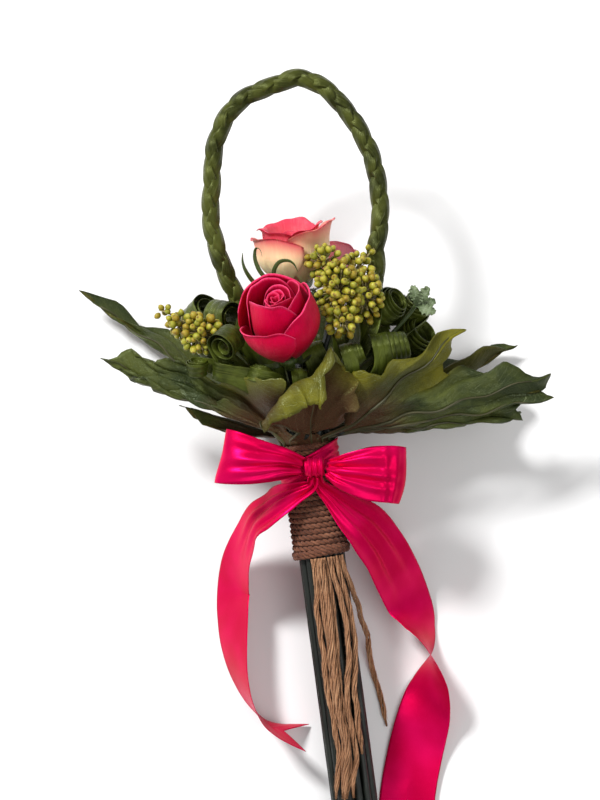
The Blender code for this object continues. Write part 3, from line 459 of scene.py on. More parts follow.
# Greens and fibres from their darkest to their palest
STEM = bark_finish("rose_stem_green", (0.003, 0.004, 0.003), (0.008, 0.011, 0.008),
                   (0.022, 0.028, 0.020), 0.42, 0.62)
SEPAL = bark_finish("sepal_green", (0.02, 0.035, 0.006), (0.05, 0.08, 0.012), (0.12, 0.15, 0.04),
                    0.4, 0.6)
TWIG = bark_finish("twig_tan", (0.10, 0.08, 0.02), (0.26, 0.21, 0.07), (0.45, 0.38, 0.16), 0.6, 0.8)
RIB = bark_finish("leaf_rib", (0.025, 0.026, 0.008), (0.055, 0.052, 0.017), (0.10, 0.09, 0.035),
                  0.45, 0.6)
ROLLED = blade_finish("rolled_leaf_green", (0.014, 0.020, 0.002), (0.060, 0.078, 0.008),
                      (0.16, 0.18, 0.035), Specular_IOR_Level=0.5, Specular_Tint=LEAF_SHINE)
BRAID = blade_finish("braid_green", (0.016, 0.019, 0.004), (0.062, 0.070, 0.013),
                     (0.13, 0.14, 0.045), Specular_IOR_Level=0.32, Specular_Tint=LEAF_SHINE)
FRILL = blade_finish("sprig_green", (0.09, 0.13, 0.055), (0.25, 0.31, 0.17), (0.48, 0.52, 0.38),
                     Specular_IOR_Level=0.3)
COLLAR_TOP = lobed_finish("collar_leaf_green", (0.014, 0.022, 0.005), (0.062, 0.074, 0.013),
                          (0.13, 0.14, 0.035), (0.055, 0.024, 0.011), 48.0,
                          Specular_IOR_Level=0.42, Specular_Tint=(0.82, 0.95, 0.60))
COLLAR_UNDER = lobed_finish("collar_leaf_under", (0.032, 0.032, 0.005), (0.068, 0.064, 0.011),
                            (0.26, 0.17, 0.08), (0.060, 0.024, 0.014), 50.0,
                            Specular_IOR_Level=0.3, Specular_Tint=LEAF_SHINE)
BERRY_SKIN = berry_finish()
JUTE = fibre_finish("jute_brown", (0.055, 0.016, 0.009), (0.17, 0.062, 0.034), (0.34, 0.15, 0.085))
YARN = fibre_finish("jute_yarn_brown", (0.11, 0.042, 0.018), (0.37, 0.175, 0.085),
                    (0.72, 0.42, 0.23))
SATIN = satin_finish()


# ---------------------------------------------------------------- camera
CAMERA_AT = (-8.05, 32.79, 1500.0)
CAMERA_ROLL = math.radians(5.0)
SEEN_MM = 544.0                # what the picture's long side takes in at that distance
SENSOR_MM = 36.0


def camera():
    """A long lens square to the bouquet's front, rolled a little."""
    data = bpy.data.cameras.new("Camera")
    data.sensor_width = SENSOR_MM
    data.lens = SENSOR_MM * CAMERA_AT[2] / SEEN_MM
    data.clip_end = 20.0
    view = linked("Camera", data)
    turn = Matrix(TILT.tolist()) @ Matrix.Rotation(-CAMERA_ROLL, 3, "Z")
    view.matrix_world = Matrix.Translation(Vector(place(CAMERA_AT))) @ turn.to_4x4()
    bpy.context.scene.camera = view


# ---------------------------------------------------------------- twine
PLIES = 2
PLY_PITCH = 8.0                # length of one turn of the plies
PLY_APART = 0.92               # their distance from the twine's middle, in their own radii
HAIR = 0.07 * np.array((1.0, 0.8, 0.3))          # radius of a loose hair, from root to tip


def twisted(piece, path, radius):
    """Plies twisted round path."""
    _, one, two, travelled = carried(path)
    for ply in range(PLIES):
        way = turned(one, two, math.tau * (travelled / PLY_PITCH + ply / PLIES))
        thick = radius * (1 + 0.10 * ripples(travelled * 0.25, 3.7 * ply + path[0, 1]))
        piece.bar(path + way * (thick * PLY_APART)[:, None], thick, 6)


def fibres(piece, path, count, rng, surface, reach, length):
    """Loose hairs that leave the surface of a strand along path."""
    tangent, one, two, _ = carried(path)
    for _ in range(count):
        k = rng.randrange(8, len(path) - 8)
        turn = rng.uniform(0, math.tau)
        out = one[k] * math.cos(turn) + two[k] * math.sin(turn)
        side = np.cross(out, tangent[k])
        run = rng.uniform(0.4, 1.0) * length * rng.choice((-1, 1))
        lift = rng.uniform(0.3, 1.0) * reach
        bend = rng.uniform(-0.5, 0.5) * length
        start = path[k] + out * surface * 0.8
        middle = start + tangent[k] * run * 0.5 + out * lift * 0.8 + side * bend * 0.3
        end = start + tangent[k] * run + out * lift + side * bend
        piece.bar(bezier((start, middle, end), 3), HAIR, 3)


YARN_WIDTH = 3.5
YARN_LEVELS = (-74.3, -86, -97, -107, -118, -131, -144, -158, -171, -185, -198, -209, -222, -237)
# Each yarn: its distance from the bundle's axis, and how far to the side it lies at each level
YARNS = {
    1: (17.8, (-6.4, -6.4, -6.8, -8.4, -8.0, -7.8, -7.8, -8.2, -8.0, -7.0, -6.2, -6.6, -9.2,
               -12.0)),
    2: (17.8, (-2.7, -2.6, -2.8, -3.2, -3.4, -3.4, -3.6, -4.2, -4.2, -3.3, -2.5, -2.9, -5.4,
               -8.1)),
    3: (17.8, (1.0, 1.6, 2.6, 2.8, 2.6, 2.0, 1.2, -0.3, -0.5, 0.4, 1.2, 0.8, -1.7, -4.4)),
    4: (17.8, (4.7, 6.0, 7.8, 9.0, 9.8, 9.6, 8.4, 5.9, 4.6, 4.6, 5.0, 4.6, 2.1, -0.6)),
    5: (17.8, (8.5, 10.2, 12.2, 13.4, 14.2, 14.2, 13.2, 11.0, 9.4, 9.0, 9.2, 9.4)),
    7: (21.2, (-0.9, -0.5, -0.1, -0.2, -0.4, -0.7, -1.2, -2.2, -2.4, -1.5, -0.7, -1.1, -3.5,
               -6.2)),
}
# The yarn that leaves the bundle, along its axis; a z of None lays it on the ground
LOOSE_YARN = [(12.3, -74.3, 13.0), (13.6, -83, 11.6), (15.4, -91, 9.2), (17.4, -99, 4.6),
              (18.8, -107, -2), (20.6, -116, -10), (22.4, -126, -19), (23.6, -137, -27),
              (24.2, -151, -33), (25.4, -165, None), (26.8, -178, None), (28.0, -188, None),
              (28.4, -199, None)]
FRAYED = 11.0                  # length of the untwisted end of a yarn
YARN_STRANDS = 6               # fine strands in a yarn, which turn once in YARN_PITCH
YARN_PITCH = 42.0
STRAND_AWAY, STRAND_RADIUS = 1.36, 0.58
END_HAIRS, SIDE_HAIRS = 26, 220


def yarn(number, route):
    """Fine strands of jute, loosely twisted and open at the end."""
    name = f"jute_yarn_{number}"
    rng = random.Random(name)
    seed = route[0][0]
    length = along(smooth_line(route, 60))[1][-1]
    path = smooth_line(route, int(length / 0.8))
    path += np.array([[1.3 * ripple(k * 0.05, 5.1, seed), 0, 0.5 * ripple(k * 0.06, 2.3, seed)]
                      for k in range(len(path))])
    _, one, two, travelled = carried(path)
    length = travelled[-1]
    piece = Piece()
    closing = 1 - 0.75 * ramp(travelled, length - FRAYED, length - 1)
    for strand in range(YARN_STRANDS):
        turn = math.tau * (travelled / YARN_PITCH + strand / YARN_STRANDS)
        turn += 0.8 * ripples(travelled * 0.05, strand * 2.9 + seed)
        away = closing * (STRAND_AWAY + 0.30 * ripples(travelled * 0.08, strand * 4.3))
        thick = closing * (STRAND_RADIUS + 0.10 * ripples(travelled * 0.1, strand * 1.7))
        piece.bar(path + turned(one, two, turn) * away[:, None], thick, 6, from_mm=173.0 * strand)
    tip = path[travelled > length - FRAYED]
    for _ in range(END_HAIRS):
        turn, wide = rng.uniform(0, math.tau), rng.uniform(0.4, 1.0)
        out = np.array((math.cos(turn), 0.0, math.sin(turn))) * wide
        hair = tip[rng.randrange(0, len(tip) // 2):].copy()
        share = np.linspace(0.3, 1.0, len(hair))[:, None] ** 1.5
        hair += out * share * 1.4 + np.array((0.35, 0, 0)) * np.sin(share * 5 + turn)
        piece.bar(hair[::2], np.linspace(0.16, 0.07, len(hair[::2])), 4)
    fibres(piece, path, SIDE_HAIRS, rng, 1.6, 1.1, 6.0)
    made = piece.build(name, "_twine", [YARN])


def yarns():
    for number, (distance, sides) in YARNS.items():
        yarn(number, np.array([in_bundle((x, y, math.sqrt(distance ** 2 - x * x)))
                               for x, y in zip(sides, YARN_LEVELS)]))
    yarn(6, np.array([in_bundle((x, y, laid(y, z, YARN_WIDTH / 2 + 0.2)))
                      for x, y, z in LOOSE_YARN]))


SLEEVE = (-74.0, 5.6)          # levels of the binding's ends
TWINE_TURNS = 20
TURN_POINTS = 84
TWINE_AT = 17.45               # distance of the wound twine from the axis
CORE_AT = 16.5                 # and of the dark surface that closes the gaps under it


def binding():
    """Twine wound round the stems, with two more turns over its lower end."""
    rng = random.Random(11)
    low, high = SLEEVE[0] + 2.2, SLEEVE[1] - 1.8
    turn = np.linspace(0, TWINE_TURNS, TWINE_TURNS * TURN_POINTS)
    level = low + (high - low) * (turn / TWINE_TURNS)
    level += 0.5 * np.cos(math.tau * turn + 0.8) + 0.35 * ripples(turn * 0.8, 4.0)
    away = TWINE_AT + 0.35 * ripples(turn * 1.7, 9.0)
    helix = about_bundle(away, math.tau * turn, level)
    piece = Piece()
    twisted(piece, helix, 1.06)
    fibres(piece, helix, 700, rng, 1.9, 1.6, 4.5)
    ring = np.linspace(0, math.tau, 90)
    for offset, rise in ((0.0, 0.0), (1.9, 0.5)):
        level = SLEEVE[0] + 2.0 + offset + 1.3 * np.cos(ring - 0.5)
        twisted(piece, about_bundle(TWINE_AT + 0.5 + rise, ring, level), 1.05)
    core = np.linspace(SLEEVE[0] + 1.5, SLEEVE[1] - 1.0, 12)[:, None]
    ring = whole_turn(40)[None]
    piece.grid(about_bundle(CORE_AT, ring, core), joined(0.3 * ring, core, 0.2 * ring), wrap=True)
    piece.build("jute_binding", "_twine", [JUTE])


# ---------------------------------------------------------------- ribbon
# Ribbon routes: x, y, z, width and tilt.  The tilt is the angle between the ribbon's width
# and the bouquet's front plane.  A z of None lays the lower edge on the ground.
LOOP_LEFT = [(-10.4, -11, 30.5, 12, 0), (-24, -7, 36, 20, 0), (-42, -4, 38, 29, 0),
             (-56, -1, 35, 35, 0), (-63, 0, 28, 37, 0), (-56, -2, 21, 36, 0),
             (-42, -5.5, 19, 31, 0), (-24, -9, 22, 22, 0), (-10.4, -12, 25, 12, 0)]
LOOP_RIGHT = [(5.9, -14, 30.5, 12, 0), (16, -17, 36, 24, 0), (33, -20, 38, 35, 0),
              (49, -22, 35, 38, 0), (56, -23.5, 28, 38, 0), (49, -22, 21, 38, 0),
              (33, -20.5, 19, 36, 0), (18, -18, 21.9, 25, 0), (5.9, -15, 25.4, 12, 0)]
TAIL_LEFT = [(-3.6, -18.9, 28.2, 7, 0), (-6, -25.1, 26.3, 9, 0), (-17, -29.5, 23, 16, -20),
             (-27, -34, 18, 27, -44), (-36, -39.5, 11, 36, -58), (-46, -47, 2, 38, -62),
             (-54, -60, -11, 38, -60), (-61, -76, -24, 38, -56), (-65.5, -94, None, 38, -55),
             (-67.5, -112, None, 38, -58), (-68, -131, None, 38, -61), (-66, -151, None, 38, -67),
             (-60.5, -170, None, 38, -75), (-52, -184, None, 38, -84), (-42, -191, None, 38, -94),
             (-32, -195, None, 38, -104), (-23, -198, None, 38, -112)]
TAIL_RIGHT = [(-1.2, -19.0, 28.0, 7, 2), (0.8, -26, 25.3, 9, 4), (8.5, -34.5, 21.4, 17, 20),
              (18, -45, 16, 29, 30), (30, -58, 8.5, 38, 30), (40, -74, -2, 38, 30),
              (48, -93, -15, 38, 30), (55, -112, -28, 38, 38), (61, -130, None, 38, 60),
              (65, -150, None, 38, 90), (64, -170, None, 38, 125), (58, -192, None, 38, 155),
              (50, -216, None, 38, 170), (43, -240, None, 38, 175), (38, -264, None, 38, 176)]
RIBBON_WIDTH = 38.0
RIBBON_THICK = 0.35
SWALLOW_CUT = 17.0             # depth of the notch in a tail's end
TAIL_LIFT = 0.9                # keeps the folds of a tail that lies off the floor


def ribbon_stretch(name, route, rows, folds, width_way=None, cut=0.0):
    """One stretch of the ribbon.  folds gives how far the cloth stands off its middle surface
    at a share of the stretch and a place across it from -1 to 1, in millimetres."""
    packed = [(x, y, laid(y, z, abs(math.sin(math.radians(tilt))) * width / 2 + TAIL_LIFT),
               width, tilt) for x, y, z, width, tilt in route]
    spots = smooth_line(packed, rows)
    centres, width, tilt = spots[:, :3], spots[:, 3:4], np.radians(spots[:, 4:5])
    ahead, travelled = along(centres)
    if width_way is None:
        flat = unit(np.cross(ahead, FRONT))
        way = unit(flat * np.cos(tilt) + np.cross(flat, ahead) * np.sin(tilt))
    else:
        way = unit(np.array(width_way) - ahead * (ahead @ np.array(width_way))[:, None])
    length, travelled, across = travelled[-1], travelled[:, None], row(29)
    points = swept(centres, way, np.cross(way, ahead), across * width / 2,
                   folds(travelled / length, across, travelled))
    back = cut * (1 - np.abs(across)) * ramp(travelled, length - 45, length)
    points -= ahead[:, None] * back[..., None]
    piece = Piece()
    piece.grid(points, joined(across * RIBBON_WIDTH / 2, travelled - back, 0.0))
    made = piece.build(name, "_satin", [SATIN], RIBBON_THICK)


def gathers(across, count, phase):
    """Uneven pleats from one edge of the cloth to the other."""
    wave = across * math.pi * count + phase
    return np.sin(wave + 0.6 * np.sin(wave))


def creases(near, across, lines):
    """Sharp folds, each from a place across the gathered end to another one, with a depth
    and a width."""
    total = 0
    for start, end, depth, width in lines:
        off = (across - start - (end - start) * near) / (width * (0.5 + near))
        total = total + depth * off * np.exp(-off ** 2) * (1 - ramp(near, 0.5, 1.0))
    return total * ramp(near, 0.0, 0.12)


def loop_folds(depth, reach, gather, lines, wave, crown, rims=()):
    """The folds of a loop: gathered at both ends, with a wave and a crown between them."""
    def folds(share, across, _):
        near = 2 * np.minimum(share, 1 - share)
        middle = np.sin(math.pi * share)
        return (depth * (1 - ramp(near, 0.0, reach)) * gathers(across, *gather)
                + creases(near, across, lines)
                + wave[0] * np.sin(across * wave[1] + share * wave[2]) * middle
                + crown * (1 - across ** 2) * middle
                + sum(0.9 * np.exp(-((share - at) / 0.018) ** 2) for at in rims))
    return folds


def tail_folds(gather, quick, lines, wave):
    """The folds of a tail: gathered at the knot, with a wave further on."""
    def folds(share, across, travelled):
        return (1.6 * (1 - ramp(share, 0.02, 0.30)) * gathers(across, *gather)
                + creases(share * quick, across, lines)
                + 1.2 * np.sin(across * wave[0] + travelled * wave[1] + wave[2])
                * ramp(share, 0.1, 0.4))
    return folds


def ribbon():
    """The bow: two loops, two tails, the knot and the turn round the neck."""
    ribbon_stretch("ribbon_loop_left", LOOP_LEFT, 120, loop_folds(
        1.3, 0.45, (2.6, 0.6),
        ((-0.5, -0.75, 2.6, 0.16), (0.0, -0.30, 5.2, 0.20), (0.45, 0.5, 2.2, 0.16)),
        (1.1, 2.6, 9), 1.6), (0.3, 0.95, 0.0))
    ribbon_stretch("ribbon_loop_right", LOOP_RIGHT, 120, loop_folds(
        1.5, 0.5, (3.2, 0.2),
        ((-0.6, -0.85, 3.6, 0.13), (-0.2, -0.05, 5.6, 0.16), (0.3, 0.42, 5.0, 0.15)),
        (0.9, 2.2, -11), 1.4, (0.36, 0.42, 0.58, 0.64)), (-0.24, -0.97, 0.0))
    ribbon_stretch("ribbon_tail_left", TAIL_LEFT, 170, tail_folds(
        (2.2, 0.9), 2.4, ((-0.3, -0.55, 3.0, 0.2), (0.35, 0.2, 3.2, 0.16)), (1.6, 0.045, 0)),
        cut=SWALLOW_CUT)
    ribbon_stretch("ribbon_tail_right", TAIL_RIGHT, 190, tail_folds(
        (2.4, 0.1), 2.2, ((-0.2, -0.5, 3.4, 0.18), (0.3, 0.35, 3.4, 0.15)), (1.5, -0.04, 2)),
        cut=SWALLOW_CUT)
    knot()
    neck_band()


KNOT_AT = np.array((-2.5, -13.0, 27.9))
KNOT_SIZE = (6.4, 7.2, 6.0)    # half its width, height and depth


def knot():
    """The gathered wrap of the bow's middle, with pleats that run over it."""
    turn, across = whole_turn(96)[:, None], row(40)
    pleat = 0.55 * np.sin(across * 10 + 0.8 * np.sin(turn)) + 0.3 * np.sin(across * 21 + turn * 2)
    edge = 1 - 0.30 * np.abs(across) ** 5 - 0.10 * (1 - across ** 2)
    high, deep = ((size - 0.5) * edge + pleat for size in KNOT_SIZE[1:])
    points = KNOT_AT + joined(across * KNOT_SIZE[0], high * np.cos(turn), deep * np.sin(turn))
    run = joined(across * 12, turn * 7, 0.0)
    piece = Piece()
    piece.grid(np.concatenate([points, points[:1]]), np.concatenate([run, run[:1] + (0, 44, 0)]))
    made = piece.build("ribbon_knot", "_satin", [SATIN], RIBBON_THICK)


BAND_AT = 20.7                 # distance of the neck band from the bundle's axis
BAND_WIDTH = 15.0
BAND_SLANT = 0.42              # how steeply it rises to the right


def neck_band():
    """The ribbon's slanting turn round the top of the binding, gathered into soft pleats."""
    turn, across = whole_turn(160, 1)[:, None], row(26)
    away = BAND_AT + (0.38 * np.sin(across * 8.5 + 0.7 * np.sin(turn * 2))
                      + 0.2 * np.sin(across * 15 + turn))
    level = BAND_MIDDLE + BAND_SLANT * (away * np.cos(turn)) + BAND_WIDTH / 2 * across
    piece = Piece()
    piece.grid(about_bundle(away, turn, level), joined(across * 13, turn * BAND_AT, 0.0))
    made = piece.build("ribbon_neck_band", "_satin", [SATIN], RIBBON_THICK)


# ---------------------------------------------------------------- stalks
# Rings of stalks in the bundle: distance from the axis, angles, stalk radius, and how long a
# stalk keeps rising straight before it bends outwards, as a share of its reach
INNER_RING = (3.4, (90, 210, 330), 2.7, 0.35)
MIDDLE_RING = (8.5, tuple(20 + 40 * k for k in range(9)), 2.3, 0.30)
OUTER_RING = (13.4, tuple(20 + 360 / 13 * k for k in range(13)), 2.3, 0.18)
PARALLEL_TO = 9.0              # stalks stay parallel up to here, then fan out
STALK_TRIM = 0.97              # keeps neighbouring stalks from touching
STRAIGHT_STEPS = 25            # points of a stalk below the place where it bends
BEND_STEPS = 22                # and from there to its end


def slot(ring, index, y):
    """The middle of a stalk at the level y of the bundle."""
    turn = math.radians(ring[1][index])
    return in_bundle((ring[0] * math.cos(turn), y, ring[0] * math.sin(turn)))


def stalk_path(ring, index, end, heading, end_cut):
    """From the cut end, straight through the binding, then in one bend to end."""
    start = slot(ring, index, PARALLEL_TO)
    reach = np.linalg.norm(end - start)
    straight = np.linspace(slot(ring, index, STEM_END + end_cut), start, STRAIGHT_STEPS + 1)[:-1]
    bend = bezier([start, slot(ring, index, PARALLEL_TO + reach * ring[3]),
                   end - heading * reach * 0.4, end], BEND_STEPS)
    return np.concatenate([straight, bend])


def stalk(piece, path, radius, kind=0, top=1.0):
    """A ridged stem whose radius changes to top times itself at its far end."""
    travelled = along(path)[1]
    thick = radius * STALK_TRIM * (1 + (top - 1) * ramp(travelled / travelled[-1], 0.6, 1.0))
    thick *= 1 + 0.03 * ripples(travelled * 0.06, path[0, 0])
    piece.bar(path, thick, 10, kind)


# ---------------------------------------------------------------- roses
# Place in the inner ring, middle of the calyx, facing, level of the cut end, sepals' reach
FRONT_ROSE = ("front_rose", 0, (-14, 63, 27), (-0.10, 0.80, 0.60), 0, 18.0)
BACK_ROSE = ("back_rose", 1, (-4, 112, -18), (-0.02, 0.97, 0.20), 4, 24.0)
THIRD_ROSE = ("third_rose", 2, (20, 104, -45), (0.12, 0.95, -0.25), 2, 17.0)
# Long sepals that rise in front of the petals and curl
CURLED_SEPALS = {
    "back_rose": ([(-20, 113, 6), (-27, 121, 9), (-30, 130, 11), (-29, 137, 13), (-26, 136, 15),
                   (-25, 131, 16)],
                  [(-18, 114, 8), (-18, 121, 12), (-14, 126.5, 14), (-8, 127, 15), (-4, 124, 16),
                   (-2, 119, 16)],
                  [(-27, 111, 2), (-33, 116, 6), (-37, 123, 9), (-38.5, 129, 10), (-38, 135, 11)]),
}
CALYX = 9.0                    # height of the calyx under the petals
CALYX_LEVELS = np.array((-CALYX, -7.6, -6.2, -4.6, -3.0, -1.6, -0.5, 0.3, 0.5))[:, None]
CALYX_RADII = np.array((2.6, 3.6, 5.0, 6.4, 7.2, 7.0, 6.2, 5.2, 0.1))[:, None]
PETAL_FOOT = 1.25              # level of the petals' feet
# How much further out one side of a petal is, so that it lies over the next petal's other
# side, and how that grows with the whorl's radius
PETAL_STEP, PETAL_STEP_GROWTH = 0.9, 0.036
PETAL_PITCH = math.radians(120)
BELLY_LEVEL, FLARE_LEVEL = 0.55, 0.62            # of the cup's depth
ROLL_END = 2.6                 # radians of a rim's roll
PETAL_THICK, HEART_THICK = 0.3, 0.4


def in_rose(rose, radius, turn, height):
    """Points given round a rose's axis: how far from it, which way and how high."""
    axis = unit(rose[3])
    front = unit(FRONT - axis * axis[2])
    radius, turn, height = np.broadcast_arrays(radius, turn, height)
    return (np.array(rose[2]) + axis * height[..., None]
            + turned(front, np.cross(axis, front), turn) * radius[..., None])


def petal(piece, rose, cup, turn, rim, curl, tip, ruffle=0.5, lean=0.0, rows=33, columns=26):
    """A cupped petal with a rolled rim.

    cup is the whorl's radius, depth, flare and half width; rim the height and its slope;
    curl how much of the rim rolls out, and how tightly; tip the height of its point.
    """
    layer, depth, flare, span = cup
    reach, bend = curl
    seed = turn * 3.1 + layer
    u, v = np.linspace(-1, 1, rows)[:, None], 1 - (1 - row(columns, 0)) ** 1.25
    edge = 0.10 * np.abs(u) ** 2 + 0.16 * np.abs(u) ** 6
    height = (rim[0] + rim[1] * u - PETAL_FOOT) * (1 - edge)
    height = height + tip * np.exp(-(u / 0.14) ** 2) + ruffle * ripples(u * 2.6, seed)
    roll = reach * (0.75 + 0.5 * ripples(u * 1.5, seed + 7)) * (1 - 0.35 * u ** 2)
    height = height + (roll - bend) * (roll > bend)
    rise = height * v
    rolled = np.minimum(np.maximum(rise - (height - roll), 0.0) / bend, ROLL_END)
    rise = np.minimum(rise, height - roll) + bend * np.sin(rolled)
    level = rise / (depth - PETAL_FOOT)
    belly = np.sin(math.pi / 2 * np.minimum(level / BELLY_LEVEL, 1.0)) ** 0.9
    step = (PETAL_STEP + PETAL_STEP_GROWTH * layer) * u * span / PETAL_PITCH
    foot = 2.4 + 0.25 * layer
    radius = foot + (layer - foot) * belly + 7 * flare * np.maximum(level - FLARE_LEVEL, 0) ** 2
    radius += step * (0.25 + 0.75 * belly)
    radius += bend * (1 - np.cos(rolled))
    radius *= 1 - lean * np.maximum(level - 0.55, 0) ** 1.5
    radius += 0.35 * ripples(u * 2.0, seed + 3) * v ** 2
    radius += 0.30 * ripples(u * 7.0, seed + 11) * v ** 5
    radius += 0.22 * ripples(u * 3.5, seed + 17) * np.sin(v * 5.0 + seed)
    angle = turn + u * span * (0.45 + 0.55 * belly) * (1 - 0.04 * v)
    piece.grid(in_rose(rose, radius, angle, PETAL_FOOT + rise), joined(u, v, (seed * 0.37) % 1.0))


def whorl(rose, first, cup, start, petals, slot_name, finish, **shape):
    """Petals side by side; each is its height, slope, rolled reach, roll radius and tip."""
    cup = (*cup[:3], math.radians(cup[3]))
    for k, (high, slope, reach, bend, tip) in enumerate(petals):
        piece = Piece()
        petal(piece, rose, cup, math.radians(start) + k * PETAL_PITCH, (high, slope), (reach, bend),
              tip, **shape)
        piece.build(f"{rose[0]}_petal_{first + k}", "_velvet", [finish], PETAL_THICK)


def heart(rose, radius, height, count, slot_name, finish):
    """The tightly wrapped inner petals, each turned further round than the one outside it."""
    piece = Piece()
    for k in range(count):
        share = k / (count - 1)
        cup = (radius * (1.0 - 0.78 * share), height, 0.0, math.radians(105 + 25 * share))
        high = height - 1.5 - 2.5 * abs(share - 0.45) + 1.0 * math.sin(k * 2.1)
        petal(piece, rose, cup, k * GOLDEN_TURN, (high, 0.6), (2.2, 0.9), 0.3,
              lean=0.55 - 0.2 * share, rows=27, columns=16)
    piece.build(rose[0] + "_heart", "_petals", [finish], HEART_THICK)


def rose_stem(rose):
    """Stem, calyx and five curved sepals."""
    name, index, base, axis, cut, reach = rose
    axis = unit(axis)
    piece = Piece()
    neck = np.array(base) - axis * CALYX
    stalk(piece, stalk_path(INNER_RING, index, neck, axis, cut), INNER_RING[2])
    turn = whole_turn(20)
    cup = in_rose(rose, CALYX_RADII * (1 + 0.03 * np.cos(turn * 5)), turn, CALYX_LEVELS)
    piece.grid(cup, joined(3 * np.cos(turn), CALYX_LEVELS + 20, 3 * np.sin(turn)), 1, wrap=True)
    u, v = np.linspace(-1, 1, 9)[:, None], row(22, 0)
    wide = (3.6 * (1 - v) ** 0.8 + 0.8 * np.sin(math.pi * v)) * (1 - 0.4 * ramp(v, 0.85, 1.0))
    out = 6.0 + (reach - 6.5) * v ** 0.9
    for k in range(5):
        lift = -4.2 + 5.4 * v - 4.0 * np.sin(math.pi * v) * 0.5 + 0.8 * ripple(k * 1.7) * v
        lift = lift + 0.10 * wide * (u ** 2)
        angle = math.tau * k / 5 + np.arctan2(u * wide, out) + 0.12 * ripple(k * 2.3, 5) * v
        blade = in_rose(rose, np.hypot(out, u * wide), angle, lift)
        for side in (0.3, -0.3):
            piece.grid(blade + axis * side, joined(u * wide * 1.2, v * reach + k * 30, 0 * u * v), 1)
    for route in CURLED_SEPALS.get(name, ()):
        tendril = smooth_line(route, 24)
        flat_way = np.cross(tendril[1] - tendril[0], FRONT)
        piece.bar(tendril, 1.5 * np.sin(np.linspace(0.9, 3.0, 24)), 10, 1, flat_way, 0.3)
    piece.build(name + "_stem", "_green", [STEM, SEPAL])


def roses():
    for rose in (FRONT_ROSE, BACK_ROSE, THIRD_ROSE):
        rose_stem(rose)
    crimson = ("crimson_petal", CRIMSON)
    heart(FRONT_ROSE, 8.6, 50, 8, *crimson)
    whorl(FRONT_ROSE, 1, (12.0, 50, 0.0, 85), 20,
          [(50, 0, 1.2, 0.8, 0), (51, 0, 1.2, 0.8, 0)], *crimson, lean=0.5)
    whorl(FRONT_ROSE, 3, (19.0, 53, 0.0, 78), -35,
          [(53, 0, 1.8, 0.9, 0)] * 3, *crimson, lean=0.45, ruffle=1.7)
    whorl(FRONT_ROSE, 6, (26.5, 52, 0.0, 74), -55,
          [(34, 8, 3.0, 1.2, 0), (47, 6, 2.6, 1.0, 0), (51, 0, 3.4, 1.4, 1)],
          *crimson, lean=0.75, ruffle=1.7)
    heart(BACK_ROSE, 10, 38, 7, "cream_petal", CORAL)
    whorl(BACK_ROSE, 1, (17.5, 42, 3.0, 80), 60,
          [(41, 2, 4.5, 1.8, 1), (43, 0, 4.0, 1.8, 0), (41, -2, 5.0, 1.8, 2)],
          "cream_petal", CORAL, ruffle=3.0)
    whorl(BACK_ROSE, 4, (25.5, 41, 3.0, 80), -60,
          [(36, 2, 3.6, 1.5, 0), (42, 3, 5.0, 2.0, 1)], "cream_petal", CREAM, ruffle=2.8)
    heart(THIRD_ROSE, 9, 33, 6, "pink_petal", PINK)
    whorl(THIRD_ROSE, 1, (14.0, 34, 1.5, 82), 0, [(34, 0, 4.0, 1.8, 0)] * 2, "pink_petal", PINK)


